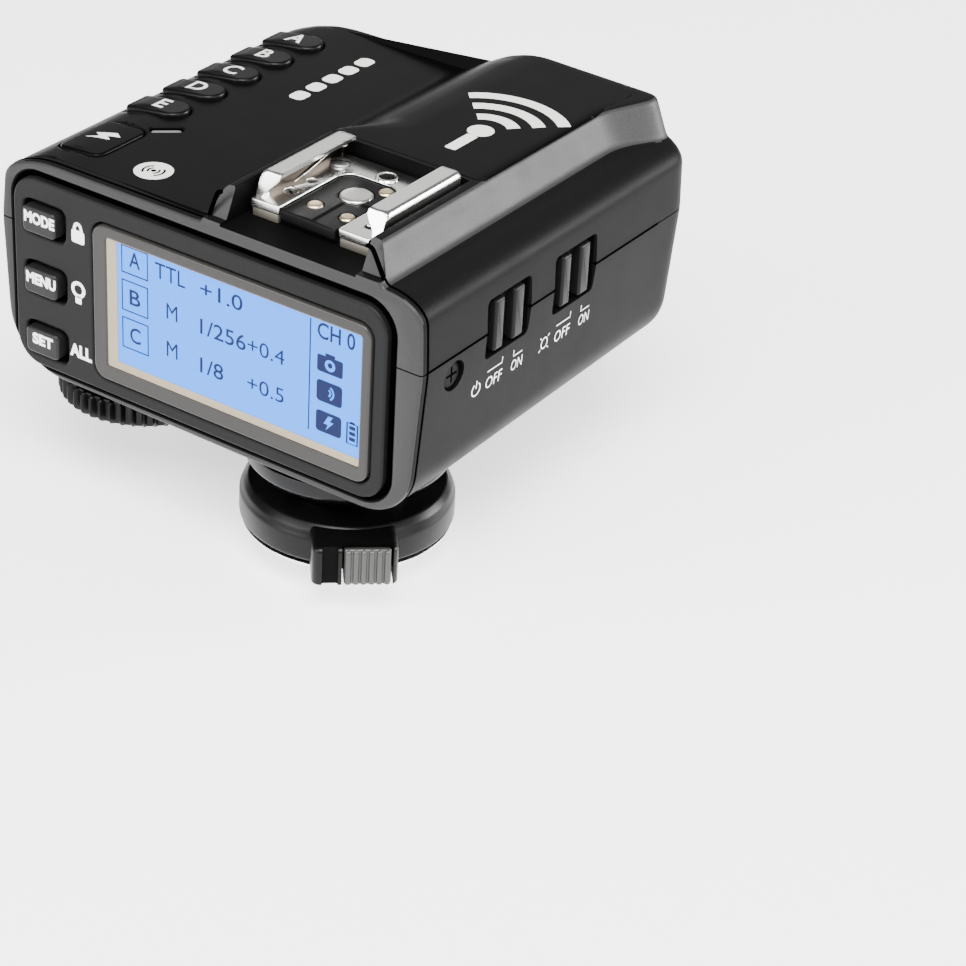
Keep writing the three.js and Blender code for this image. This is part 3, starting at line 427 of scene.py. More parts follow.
def facing_down(z, way=1):
    """Place on a level face, seen from below or, with way -1, from above."""
    return lambda x, y, drop: (x, y, z + way * drop)


# ---- the casing's skin ----
def ease(start, end, value):
    t = min(1.0, max(0.0, (value - start) / (end - start)))
    return t * t * (3 - 2 * t)


SHOULDER_X, SHOULDER_Z, SHOULDER_RX, SHOULDER_RZ = 15.2, 46.2, 6.6, 3.9
WALL_FOOT_X, WALL_FOOT_Z = 20.9, 24.4
FLANK_CHANGE, FLARE_RANGE, FLARE = (10, 21), (38, 50), 3.4
STEEP = [(-11.6, 54.9), (-12.3, 54.8), (-12.8, 54.2), (-13.3, 52.8), (-13.8, 51.4), (-14.3, PLATEAU)]
GENTLE = [(-4.6, 54.9), (-7.2, 54.6), (-10.4, 53.6), (-12.8, 52.4), (-14.9, 51.1), (-16.6, PLATEAU)]


def rounded_section(y, wall, hump, coarse):
    """Outline at y, anticlockwise from the parting plane's right end. hump is its part over the shoulder."""
    flare = FLARE * ease(*FLARE_RANGE, y)
    wall_base = math.degrees(math.acos(min(1, flare / SHOULDER_RX)))
    shoulder_steps, edge_steps, floor_steps = (4, 4, 4) if coarse else (8, 9, 8)
    return [
        (RIGHT - wall, PARTING),
        *arc(SHOULDER_X, SHOULDER_Z, SHOULDER_RX - wall, SHOULDER_RZ - wall, 0, wall_base, shoulder_steps),
        *[(x + flare, z) for x, z in hump[0]], *hump[1],
        *arc(-40, 45.6, 9.3 - wall, 4.35 - wall, 90, 180, edge_steps),
        (LEFT + wall, PARTING),
        *arc(-39.5, 26, 9.7 - wall, 9.2 - wall, 180, 270, floor_steps),
        *arc(13, WALL_FOOT_Z, WALL_FOOT_X - 13 - wall, 8 - wall, 270, 360, floor_steps),
    ]


def cross_section(y):
    gentle = ease(*FLANK_CHANGE, y)
    flank = [(sx + (gx - sx) * gentle, sz + (gz - sz) * gentle) for (sx, sz), (gx, gz) in zip(STEEP, GENTLE)]
    return rounded_section(y, 0, ([(13.2, 54.1), (12.8, 54.7), (12, HUMP)], flank), False)


def hollow_section(y):
    """Outline of the room inside the casing."""
    gentle = ease(*FLANK_CHANGE, y)
    flank = [(-10.4 + 5.8 * gentle, HUMP - WALL), (-12.7 - 3.2 * gentle, PLATEAU - WALL)]
    return rounded_section(y, WALL, ([(11.6, HUMP - WALL)], flank), True)


CORNER = {"left": 7.0, "right": 4.0, "top": 2.2, "bottom": 2.6, "rim": 0.5}


def quarter(name, distance):
    """How far a rounded corner lies back at a distance from the end."""
    r = CORNER[name]
    left = r - min(r, max(0.0, distance))
    return r - math.sqrt(max(0.0, r * r - left * left))


def share_across(x):
    return (x - LEFT) / (RIGHT - LEFT)


def crown_at(x, y):
    return FRONT_CROWN * ease(36, FRONT, y) * (1 - (2 * share_across(x) - 1) ** 2)


def settle(x, z, y, rear=REAR, front=FRONT):
    """Where an outline's point lies in the skin: rounded at both ends, on a rising floor."""
    to_front, u = front - y, share_across(x)
    rim = quarter("rim", y - rear)
    shift_x = (quarter("left", to_front) + rim) * (1 - u) - (quarter("right", to_front) + rim) * u
    up = min(1.0, max(0.0, (z - PARTING) / 7))
    down = min(1.0, max(0.0, (PARTING - z) / 16))
    rise = FLOOR_RISE * (y - REAR) / (FRONT - REAR)
    shift_z = down * (quarter("bottom", to_front) + rim + rise) - up * (quarter("top", to_front) + rim)
    return (x + shift_x, y + crown_at(x, y), z + shift_z)


def skin(section, rear, front, step=1.6):
    """Closed loft of the casing, or of the room in it, between two values of y."""
    near = [0, 0.03, 0.09, 0.18, 0.3, 0.5]
    ends = [0, 0.05, 0.2, 0.45, 0.8, 1.2, 1.7, 2.3, 3.0, 4.0, 5.2, 6.6]
    count = max(2, int((front - rear - near[-1] - ends[-1]) / step))
    middle = list(np.linspace(rear + near[-1], front - ends[-1], count + 1))[1:-1]
    stations = [rear + d for d in near] + middle + [front - d for d in reversed(ends)]
    rings = [[settle(x, z, y, rear, front) for x, z in section(y)] for y in stations]
    cx, cz, last, end = -12.0, 38.0, stations[-1], rings[-1]
    for share in (0.85, 0.7, 0.55, 0.4, 0.25, 0.1):
        ring = [(cx + (x - cx) * share, cz + (z - cz) * share) for x, _, z in end]
        rings.append([(x, last + crown_at(x, last), z) for x, z in ring])
    return lofted(rings)


TABLE_STEP = 0.2


def height_table():
    """Height of the skin's upper side on a regular grid, used for everything that lies on it."""
    xs = np.arange(-50.0, 22.6, TABLE_STEP)
    ys = np.arange(REAR, FRONT + 1.6, TABLE_STEP)
    rows = []
    for at in np.minimum(ys, FRONT):
        ring = sorted(settle(x, z, at) for x, z in soften(cross_section(at)) if z > PARTING)
        rows.append(np.interp(xs, [p[0] for p in ring], [p[2] for p in ring]))
    return xs, ys, np.array(rows)


HEIGHT_X, HEIGHT_Y, HEIGHTS = height_table()


def top_height(x, y):
    y = y - crown_at(x, min(y, FRONT))
    i = min(max((x - HEIGHT_X[0]) / TABLE_STEP, 0), len(HEIGHT_X) - 1.001)
    k = min(max((y - HEIGHT_Y[0]) / TABLE_STEP, 0), len(HEIGHT_Y) - 1.001)
    a, b, s, t = int(i), int(k), i - int(i), k - int(k)
    low, high = (HEIGHTS[row, a] * (1 - s) + HEIGHTS[row, a + 1] * s for row in (b, b + 1))
    return low * (1 - t) + high * t


def wall_x(z):
    """Distance of the right wall from the middle plane at height z, below the shoulder."""
    return WALL_FOOT_X + (RIGHT - WALL_FOOT_X) * (z - WALL_FOOT_Z) / (PARTING - WALL_FOOT_Z)


# ---- materials ----
def shader(name, base, roughness, metallic=0.0, grain=0.0, grain_size=0.25, mottle=0.12, specular=0.5,
           coat=0.0, brushed=(1, 1, 1), glow=None, scuff=0.0):
    """Principled material with its own fine grain, uneven colour and uneven gloss. Sizes in millimetres."""
    material = bpy.data.materials.new(name)
    material.use_nodes = True
    nodes, links = material.node_tree.nodes, material.node_tree.links
    surface = nodes["Principled BSDF"].inputs
    surface["Metallic"].default_value = metallic
    surface["Specular IOR Level"].default_value = specular
    surface["Coat Weight"].default_value = coat
    surface["Coat Roughness"].default_value = 0.08

    def fed(kind, source, socket, result, **values):
        """Result of a new node that is fed by source."""
        made = nodes.new("ShaderNode" + kind)
        for key, value in values.items():
            made.inputs[key.replace("_", " ")].default_value = value
        links.new(source, made.inputs[socket])
        return made.outputs[result]

    def ramp(source, low, high):
        return fed("MapRange", source, "Value", "Result", From_Min=0.3, From_Max=0.7, To_Min=low, To_Max=high)

    place = fed("Mapping", nodes.new("ShaderNodeTexCoord").outputs["Object"], "Vector", "Vector", Scale=brushed)
    fine, broad = [fed("TexNoise", place, "Vector", "Fac", Scale=1 / (size * MM), Detail=detail)
                   for size, detail in ((grain_size, 3), (7.0, 4))]
    tint = nodes.new("ShaderNodeMix")
    tint.data_type = "RGBA"
    tint.inputs["A"].default_value = (*[c * (1 - mottle) for c in base], 1)
    tint.inputs["B"].default_value = (*[min(1, c * (1 + mottle)) for c in base], 1)
    links.new(ramp(fine, 0, 1), tint.inputs["Factor"])
    links.new(tint.outputs["Result"], surface["Base Color"])
    links.new(ramp(broad, roughness * (0.92 - scuff), roughness * (1.08 + scuff)), surface["Roughness"])
    if grain:
        bump = fed("Bump", fine, "Height", "Normal", Strength=min(1.0, grain), Distance=grain_size * 0.12 * MM)
        links.new(bump, surface["Normal"])
    if glow:
        surface["Emission Color"].default_value = (*glow[0], 1)
        surface["Emission Strength"].default_value = glow[1]
    return material


# Colour, roughness, metallic, grain, size of the grain, mottle, specular.
LOOK = {
    "casing": shader("casing_plastic", (0.004, 0.004, 0.0042), 0.4, 0, 0.8, 0.22, 0.18, 0.028),
    # cheek and rim: paler copies of the casing plastic, painted light on faces turned to the lamps
    "cheek": shader("cheek_painted_light", (0.02, 0.02, 0.0202), 0.42, 0, 0.8, 0.22, 0.2, 0.15),
    "rim": shader("rim_painted_light", (0.017, 0.017, 0.0172), 0.38, 0, 0.5, 0.2, 0.14, 0.15),
    "panel": shader("panel_plastic", (0.0055, 0.0055, 0.0057), 0.42, 0, 0.4, 0.2, 0.1, 0.08),
    "gloss": shader("inlay_black", (0.0012, 0.0012, 0.0013), 0.3, 0, 0.12, 0.12, 0.06, 0.035),
    # deep black: black parts and print, and painted shade on cut walls and on dark pieces put in gaps
    "dark": shader("black_and_painted_shade", (0.0008, 0.0008, 0.0008), 0.7, mottle=0.1, specular=0.05),
    # seam black: dark joints, and painted shade in the rear panel's groove
    "seam": shader("seam_and_groove_shade_black", (0.0004, 0.0004, 0.0004), 0.9, mottle=0.1, specular=0.0),
    "key": shader("key_plastic", (0.0018, 0.0018, 0.0019), 0.34, 0, 0.2, 0.15, 0.08, 0.12),
    "rear_key": shader("rear_key_rubber", (0.007, 0.007, 0.0072), 0.4, 0, 0.25, 0.16, 0.08, 0.16),
    "slider": shader("slider_plastic", (0.0045, 0.0045, 0.0045), 0.36, 0, 0.2, 0.15, 0.1, 0.08),
    "dial": shader("dial_plastic", (0.0012, 0.0012, 0.0012), 0.34, 0, 0.2, 0.15, 0.1, 0.14),
    "steel": shader("bright_steel", (0.86, 0.85, 0.83), 0.2, 1, 0.08, 0.12, 0.04,
                    brushed=(1, 0.08, 1), scuff=0.2),
    # dark brown copy of the bright steel: painted shade inside the rails
    "painted_shade_steel": shader("shaded_steel", (0.022, 0.016, 0.011), 0.35, 1, 0.1, 0.12, 0.15, scuff=0.2),
    "dull": shader("dull_sheet", (0.13, 0.12, 0.1), 0.5, 0.7, 0.1, 0.12, 0.12),
    "spring": shader("spring_steel", (0.72, 0.71, 0.69), 0.24, 1, 0.08, 0.1, 0.05),
    "screw": shader("plated_screw", (0.4, 0.4, 0.4), 0.32, 1, 0.12, 0.1, 0.1),
    "black_screw": shader("black_screw", (0.07, 0.07, 0.07), 0.35, 0.9, 0.15, 0.1, 0.1),
    "pad": shader("plated_pad", (0.7, 0.69, 0.66), 0.34, 1, 0.1, 0.12, 0.05, scuff=0.2),
    "gold": shader("gold_pad", (0.8, 0.66, 0.44), 0.32, 1, 0.1, 0.1, 0.06, scuff=0.2),
    "insulator": shader("insulator_plastic", (0.0018, 0.0018, 0.002), 0.42, 0, 0.2, 0.2, 0.15, 0.1),
    "print": shader("white_print", (0.78, 0.78, 0.76), 0.5, 0, 0.05, 0.1, 0.03),
    "silver": shader("silver_print", (0.62, 0.62, 0.6), 0.38, 0, 0.08, 0.1, 0.06),
    "border": shader("window_border", (0.02, 0.019, 0.0175), 0.2, 0, 0.03, 0.25, 0.06, 0.2),
    "strip": shader("window_strip", (0.24, 0.19, 0.13), 0.3, 0, 0.03, 0.25, 0.06, 0.3),
    "screen": shader("lit_screen", (0.01, 0.07, 0.3), 0.3, mottle=0.03, glow=((0.012, 0.27, 1.05), 2.0),
                     specular=0.1),
    "digit": shader("screen_digit", (0.002, 0.005, 0.03), 0.3, mottle=0.05, glow=((0.004, 0.014, 0.09), 0.5),
                    specular=0.1),
    "lamp": shader("lamp_lens", (0.1, 0.1, 0.1), 0.3, mottle=0.05),
    "red": shader("red_window", (0.03, 0.001, 0.002), 0.12, mottle=0.05, specular=0.2),
    "foot": shader("foot_plastic", (0.0012, 0.0012, 0.0014), 0.26, 0, 0.15, 0.2, 0.12, 0.18),
    "release": shader("release_plastic", (0.022, 0.022, 0.02), 0.4, 0, 0.2, 0.2, 0.1),
    "board": shader("board_green", (0.012, 0.1, 0.04), 0.4, 0, 0.1, 0.4, 0.2, coat=0.2),
    "chip": shader("chip_black", (0.02, 0.02, 0.021), 0.45, 0, 0.2, 0.15, 0.1),
    "cell": shader("cell_sleeve", (0.03, 0.075, 0.16), 0.25, mottle=0.05, coat=0.3),
    "cell_band": shader("cell_band", (0.6, 0.42, 0.16), 0.25, 0.6, mottle=0.05, coat=0.3),
}


# ---- printing ----
CAPITAL = 0.72  # height of a capital in a font of size 1


def lettering(text, size, bold=0.02, spacing=1.0):
    """Flat letters centred on the origin; size is the height of a capital."""
    curve = bpy.data.curves.new("letters", "FONT")
    curve.body, curve.align_x, curve.align_y = text, "CENTER", "CENTER"
    curve.size, curve.offset, curve.space_character = 1.0, bold, spacing
    curve.resolution_u = 4
    holder = bpy.data.objects.new("letters", curve)
    bpy.context.scene.collection.objects.link(holder)
    bpy.context.view_layer.update()
    data = bpy.data.meshes.new_from_object(holder.evaluated_get(bpy.context.evaluated_depsgraph_get()))
    points = np.array([v.co[:2] for v in data.vertices])
    faces = [tuple(p.vertices) for p in data.polygons]
    bpy.data.objects.remove(holder)
    bpy.data.curves.remove(curve)
    bpy.data.meshes.remove(data)
    points = (points - (points.max(0) + points.min(0)) / 2) * size / CAPITAL
    return Mesh().add([(x, y, 0) for x, y in points], faces)


def moved(mesh, dx, dy, angle=0.0, wide=1.0):
    """Flat mark made wider, turned and then moved."""
    c, s = math.cos(math.radians(angle)), math.sin(math.radians(angle))
    return mesh.mapped(lambda x, y, z: (dx + c * x * wide - s * y, dy + s * x * wide + c * y, z))


def fitted(text, cx, cz, width, height, bold=0.0):
    """Word scaled to a width and a capital height, centred on (cx, cz)."""
    made = lettering(text, height, bold)
    xs = [p[0] for p in made.points]
    return moved(made, cx, cz, wide=width / (max(xs) - min(xs)))


def shape(*loops, grid=0.0):
    """Flat mark: an outline, then its holes."""
    points, faces = filled(loops, grid)
    return Mesh().add([(*p, 0) for p in points], faces)


def patch(x0, x1, y0, y1, r, steps):
    return shape(rounded(x0, x1, y0, y1, r, steps))


def stroke(points, width, closed=False):
    """Flat line of constant width through points."""
    p = np.array(points, float)
    ahead = (np.roll(p, -1, 0) - np.roll(p, 1, 0)) if closed else np.gradient(p, axis=0)
    ahead /= np.linalg.norm(ahead, axis=1)[:, None]
    side = np.stack([-ahead[:, 1], ahead[:, 0]], 1) * width / 2
    n = len(p)
    faces = [(i, (i + 1) % n, n + (i + 1) % n, n + i) for i in range(n if closed else n - 1)]
    return Mesh().add([(x, y, 0) for x, y in [*(p + side), *(p - side)]], faces)


def wave_arcs(radii, width, start, end, steps):
    """Concentric arcs that stand for a radio wave."""
    mesh = Mesh()
    for r in radii:
        mesh.join(stroke(arc(0, 0, r, r, start, end, steps), width))
    return mesh


BOLT = [(-0.02, 0.5), (-0.36, -0.1), (-0.04, -0.1), (-0.2, -0.5), (0.38, 0.14), (0.08, 0.14), (0.32, 0.5)]


def bolt(size, grid=0.0):
    return shape([(x * size, y * size) for x, y in reversed(BOLT)], grid=grid)


PRINT_LIFT = 0.03


def on_top(mesh, lift):
    return mesh.mapped(lambda x, y, z: (x, y, top_height(x, y) + lift + z))


def on_wall(mesh):
    """Maps (distance towards the front, height) onto the right wall."""
    return mesh.mapped(lambda x, y, z: (wall_x(y) + PRINT_LIFT + z, x, y))


def on_rear(mesh, y):
    """Maps (x, height) onto a face that looks at -Y."""
    return mesh.mapped(lambda u, v, z: (u, y - z, v))


# ---- casing ----
NECK, NECK_BORE, DIAL_BORE, TROUGH = 9.2, 9.4, 5.7, 12.6
USB_OPENING, SYNC_OPENING = (4.3, 13.7, 29.2, 32.8, 1.7), (-4, 31, 3.2)
RAKE_LOW, RAKE_HIGH = (-13.6, 50.72), (-11.1, 56)
BELOW_KEYS, ABOVE_ALL = 40, 60


def centre_y(node):
    return middle_of(node)[0][1]


def centre_z(node):
    return middle_of(node)[0][2]


def rear_opening():
    outline = rounded(panel_low[0] - GAP, panel_high[0] + 1.2, panel_low[2] - GAP, panel_high[2] + 1.0, 4.8, 10)
    steps = ((-0.28, -1), (-0.28, 0), (-0.08, 0.12), (0, 0.35), (0, 4))
    return along_y(outline, *[(grow, REAR + deep) for grow, deep in steps])


def key_outline(y, grow=0.0, left=0.0):
    """Group key seen from above: straight end on the left, half round on the right."""
    low, high = mm_box("group_key_a")
    half = (high[1] - low[1]) / 2 + grow
    x0, x1 = low[0] - grow - left, high[0] + 0.9 - half + grow
    return [(x0, y - half), *arc(x1, y, half, half, -90, 90, 18), (x0, y + half)]


def test_outline(grow=0.0):
    return around(*mm_box("test_key"), grow, 1.6 + grow, 8, (0, 1))


def lamp_outline(grow=0.0):
    outline = rounded(-2.2 - grow, 2.2 + grow, -0.55 - grow, 0.55 + grow, 0.5 + grow / 2, 4)
    return [p[:2] for p in moved(Mesh([(*p, 0) for p in outline]), LAMP_X, LAMP_Y, LAMP_TURN).points]


def key_holes():
    mesh = Mesh()
    keys = [key_outline(centre_y(node), GAP) for node in GROUP_NODES]
    for outline in (*keys, test_outline(GAP), lamp_outline(0.25)):
        mesh.join(prism(outline, [(0, BELOW_KEYS), (0, ABOVE_ALL)]))
    return mesh


def slots():
    mesh = Mesh()
    low, high = SWITCH_Z - SWITCH_H / 2 - SLOT_DROP, SWITCH_Z + SWITCH_H / 2
    for y in SWITCH_Y:
        outline = rounded(y - SLOT_LENGTH / 2, y + SLOT_LENGTH / 2, low, high, 0.7, 5)
        steps = ((0, -4), (0, -0.45), (-0.22, -0.1), (-0.3, 0.6))
        mesh.join(along_x(outline, *[(grow, RIGHT + out) for grow, out in steps]))
    return mesh


def recess():
    """Room for the shoe: open to the rear, its upper edges eased."""
    half, wide = RECESS_HALF, RECESS_HALF + 0.25
    right = [(half, RECESS_FLOOR), (half, HUMP - 0.3), (wide, HUMP + 0.02), (wide, ABOVE_ALL)]
    section = [(-half, RECESS_FLOOR), *right, *[(-x, z) for x, z in right[:0:-1]]]
    return along_y(section, (0, REAR - 1), (0, RECESS_FRONT))


def rake():
    """Takes the rear corners of the hump off at a slant."""
    outline = [(REAR - 1, RAKE_LOW[1]), RAKE_LOW, RAKE_HIGH, (REAR - 1, RAKE_HIGH[1])]
    return along_x(outline, (0, -20), (0, 20))


def ports_and_screw():
    """Openings for the sockets in the left wall and for the screw in the right one."""
    mesh = along_x(rounded(*USB_OPENING, 8), (-0.3, LEFT - 1), (0, LEFT + 0.6), (0, LEFT + 4))
    mesh.join(along_x(circle(*SYNC_OPENING), (0, LEFT - 1), (0, LEFT + 4)))
    screw = circle(SCREW_Y, SCREW_Z, SCREW_R + GAP)
    return mesh.join(along_x(screw, (0, RIGHT - 5), (0, RIGHT - 0.5), (-0.2, RIGHT + 1)))


def paint_lit_faces(data):
    """Painted light: the rear edge's rear-facing faces and the hump's right flank, which face the lamps, get
    copies of the casing plastic that are finer grained and paler than the walls.
    """
    casing, rim = data.materials.find(LOOK["casing"].name), len(data.materials)
    data.materials.append(LOOK["rim"])
    data.materials.append(LOOK["cheek"])
    for face in data.polygons:
        x, y, z = (c / MM for c in face.center)
        if face.material_index != casing:
            continue
        at_rear = y < REAR + 1.3 and z < HUMP - 4.3 or y < REAR + 4.2 and z > RECESS_FLOOR + 0.3
        # Faces are made paler by the way they face: painted light.
        if face.normal.y < -0.25 and at_rear:
            face.material_index = rim
        elif x > 11.5 and z > 49.6 and face.normal.x > 0.35 and face.normal.y < 0.3:
            face.material_index = rim + 1


def linked_copy(obj):
    """Copy of an object with a mesh of its own."""
    twin = obj.copy()
    twin.data = obj.data.copy()
    bpy.context.scene.collection.objects.link(twin)
    return twin


def shells():
    upper = to_object("shell", skin(lambda y: soften(cross_section(y)), REAR, FRONT), "casing")
    cavity = to_object("cavity", skin(hollow_section, REAR + WALL + 0.6, FRONT - WALL, 4.0), "dark")
    lower, lower_cavity = linked_copy(upper), linked_copy(cavity)
    cut(upper, slab(-FAR, FAR, -FAR, FAR, PARTING + SEAM, FAR), operation="INTERSECT")
    cut(cavity, slab(-TROUGH, TROUGH, REAR - 1, RECESS_FRONT + 1.5, RECESS_FLOOR - WALL, FAR))
    # The cutters' deep black goes onto the walls they leave: painted shade in the openings, slots and key holes
    # and on the shoe recess's floor.
    for cutter in (cavity, rear_opening(), recess()):
        cut(upper, cutter)
    cut(upper, rake(), "casing")
    window = along_y(around(*mm_box("assist_window"), GAP, 3.2, 10), (0, FRONT - 6), (0, FRONT + 4))
    for cutter in (key_holes(), slots(), window):
        cut(upper, cutter)
    cut(lower, slab(-FAR, FAR, -FAR, FAR, -FAR, PARTING - SEAM), operation="INTERSECT")
    low, high = mm_box("battery_door")
    door = slab(low[0] - GAP, high[0] + GAP, low[1] - GAP, high[1] + GAP, 10, 22)
    bores = rod(NECK_BORE, 10, 20).join(rod(DIAL_BORE, 10, 20, 48, *middle_of("select_dial")[0][:2]))
    # Here too the cut walls are painted shade in deep black.
    for cutter in (lower_cavity, rear_opening(), door, bores, slots(), ports_and_screw()):
        cut(lower, cutter)
    for name, obj, node in (("casing_upper", upper, "top_shell"), ("casing_lower", lower, "bottom_shell")):
        paint_lit_faces(obj.data)
        piece(name, obj, node=node, smooth=32)


# ---- top inlay, keys and lamp ----
INLAY_LIFT, KEY_PROUD, TEST_PROUD, KEY_DEPTH, KEY_LEFT = 0.06, 0.75, 0.28, 3.2, -45.6


def over_top(lift, left=-FAR):
    """Place for a plate that follows the casing's upper side, level to the left of a line."""
    return lambda x, y, drop: (x, y, top_height(max(x, left), y) + lift - drop)


def inlay():
    low, high = mm_box("top_inlay")
    x0, y0, x1, y1 = low[0], low[1], high[0], 49.2
    outline = corner_path([(x0, y0, 2.2), (-13.3, y0, 1.2), (-13.3, 10.4, 0.4), (x1 - 0.2, 10.4, 1.8),
                           (x1 - 0.15, 38, 0), (x1 - 0.1, y1, 2.0), (x0, y1, 3.5)])
    for node in sorted(GROUP_NODES, key=centre_y, reverse=True):
        outline += [(max(x, x0), y) for x, y in reversed(key_outline(centre_y(node), GAP, 1.0))]
    made = plate([outline, test_outline(GAP), lamp_outline(0.25)], over_top(INLAY_LIFT), 0.9, 0.22, 0.6)
    piece("inlay", made, "gloss", node="top_inlay", smooth=30)


def top_keys():
    for node in GROUP_NODES:
        letter, y = node[-1], centre_y(node)
        body, outline = f"key_{letter}", key_outline(y)
        outline = corner_path([(*p, 0.7 if i in (0, len(outline) - 1) else 0) for i, p in enumerate(outline)])
        made = plate([outline], over_top(KEY_PROUD, KEY_LEFT), KEY_DEPTH, 0.45, 0.7, 5)
        piece(f"{node}_cap", made, "key", body, node, 40)
        mark = moved(lettering(letter.upper(), 2.9, 0.022), LETTER_X, y)
        printed(f"{node}_letter", on_top(mark, KEY_PROUD + 0.02), "silver", body)
    made = plate([test_outline()], over_top(TEST_PROUD), KEY_DEPTH, 0.4, 0.7, 5)
    piece("test_key_cap", made, "gloss", "key_test", "test_key", 40)
    mark = moved(bolt(4.4, 0.35), LETTER_X, -3.5, -35)
    printed("test_key_bolt", on_top(mark, TEST_PROUD + 0.04), "silver", "key_test")
    lens = plate([lamp_outline(-0.02)], over_top(-0.22), 2.0, 0.2, 0.5)
    piece("status_lens", lens, "lamp", node="status_lamp")


WAVE_X, WAVE_Y, BADGE_X, BADGE_Y = 3.6, 23.6, -28.8, -7.3


def top_marks():
    """Generic marks on the inlay: a wave sign, a row of dashes and a round radio badge."""
    big = moved(wave_arcs([4.4, 8.0, 11.6], 1.9, -44, 44, 16), WAVE_X, WAVE_Y + 0.4, 90)
    big.join(shape(circle(WAVE_X, WAVE_Y, 1.9, 28)))
    big.join(patch(WAVE_X - 0.9, WAVE_X + 0.9, WAVE_Y - 7.5, WAVE_Y - 1.9, 0.25, 2))
    row = Mesh()
    for k in range(5):
        row.join(moved(patch(-1.5, 1.5, -1.25, 1.25, 0.9, 4), -29, 41 - 3.9 * k, 90))
    disc = shape(circle(BADGE_X, BADGE_Y, 2.75), grid=0.8)
    for name, mark in (("wave_mark", big), ("dash_mark", row), ("badge_disc", disc)):
        printed(name, on_top(mark, INLAY_LIFT + PRINT_LIFT), "silver")
    sign = shape(circle(BADGE_X, BADGE_Y, 0.38, 16))
    for start, side in ((-50, -0.1), (130, 0.1)):
        sign.join(moved(wave_arcs([0.9, 1.6], 0.32, start, start + 100, 8), BADGE_X + side, BADGE_Y))
    printed("badge_sign", on_top(sign, INLAY_LIFT + 2 * PRINT_LIFT), "dark")


# ---- rear panel and display ----
PANEL_PRINT_LIFT, SEAM_BACK, KEY_BOW = 0.012, 1.25, 0.006


def key_gap(z):
    low, high = z - KEY_H / 2 - 0.45, z + KEY_H / 2 + 0.7
    return rounded(KEY_X - KEY_W / 2 + 0.02, KEY_X + KEY_W / 2 + 1.5, low, high, 1.1)


def frame_seam():
    """Dark line where the rear frame meets the casing, and along the parting plane on the right."""
    y = REAR + SEAM_BACK
    runs = [[]]
    for x, z in inset([settle(x, z, y)[::2] for x, z in soften(cross_section(y))], 0.2):
        if abs(x) < RECESS_HALF + 0.6 and z > RECESS_FLOOR - 0.5 or x < LEFT + 0.35:
            runs.append([])
        else:
            runs[-1].append((x, y, z))
    runs[0] = runs.pop() + runs[0]
    made = Mesh()
    for run in runs:
        if len(run) > 2:
            made.join(piping(run, 0.31))
    slot_ends = [y + side * SLOT_LENGTH / 2 for y in SWITCH_Y for side in (-1, 1)]
    stops = [y, *slot_ends, FRONT - 9]
    for a, b in zip(stops[::2], stops[1::2]):
        line = [(v, *settle(RIGHT, PARTING, v)) for v in np.linspace(a, b, 8)]
        made.join(piping([(x - 0.1, v, z) for v, x, _, z in line], 0.2))
    piece("frame_seam", made, "seam")


def rear_panel():
    low, high, rear = panel_low, panel_high, panel_low[1]
    gaps = [key_gap(centre_z(node)) for node in REAR_KEYS]
    outline, seat = around(low, high, 0, 4.2, 12), around(window_low, window_high, 0.25, 2.3, 8)
    made = plate([outline, seat, *gaps], facing_rear(rear), 2.2, 0.42, 0, 5)
    piece("panel", made, "panel", node="rear_panel", smooth=30)
    # Deep black sheet at the bottom of the groove round the panel: painted shade.
    piece("panel_groove_shade_sheet", plate([around(low, high, -1, 3.2, 8)], facing_rear(rear + 2.25), 0.3, 0.05), "dark")
    for node, gap in zip(REAR_KEYS, gaps):
        # Deep black linings in the gaps round the rear keys: painted shade.
        sleeve = plate([inset(gap, -0.03), inset(gap, 0.04)], facing_rear(rear + 0.3), 1.8, 0.02)
        piece(f"{node}_sleeve", sleeve, "dark")
    # Black piping in the groove round the panel: painted shade.
    seal = rounded(low[0] - 0.12, high[0] + 0.55, low[2] - 0.12, high[2] + 0.45, 4.5, 12)
    piece("panel_groove_shade_piping", piping([(x, REAR + 0.75, z) for x, z in seal], 0.4, closed=True), "seam")


def rear_keys():
    middle = KEY_X + 0.35
    for node, (word, width) in REAR_KEYS.items():
        z, front, body = centre_z(node), mm_box(node)[0][1], "key_" + node.split("_")[0]
        outline = rounded(middle - KEY_W / 2, middle + KEY_W / 2, z - KEY_H / 2, z + KEY_H / 2, 0.85)
        made = plate([outline], lambda x, v, drop: (x, front + drop + KEY_BOW * (x - middle) ** 2, v),
                     2.2, 0.4, 0.9, 5)
        piece(f"{node}_cap", made, "rear_key", body, node, 40)
        mark = fitted(word, middle + 0.25, z + 0.5, width, 1.6, 0.05)
        printed(f"{node}_word", on_rear(mark, front - PANEL_PRINT_LIFT), "print", body)


def panel_marks():
    lock = patch(-1.15, 1.15, -1.6, 0.35, 0.35, 3).join(stroke(arc(0, 0.35, 0.62, 1, 0, 180, 11), 0.5))
    bulb = stroke(circle(0, 0.5, 1, 24), 0.55, True).join(patch(-0.55, 0.55, -1.7, -0.55, 0.2, 3))
    made = moved(lock, -35.6, centre_z("mode_key") + 0.3)
    made.join(moved(bulb, -35.75, centre_z("menu_key") + 0.4))
    made.join(fitted("ALL", -35.55, centre_z("set_key") + 0.6, 4.0, 1.9, 0.05))
    printed("panel_print", on_rear(made, panel_low[1] - PANEL_PRINT_LIFT), "print")


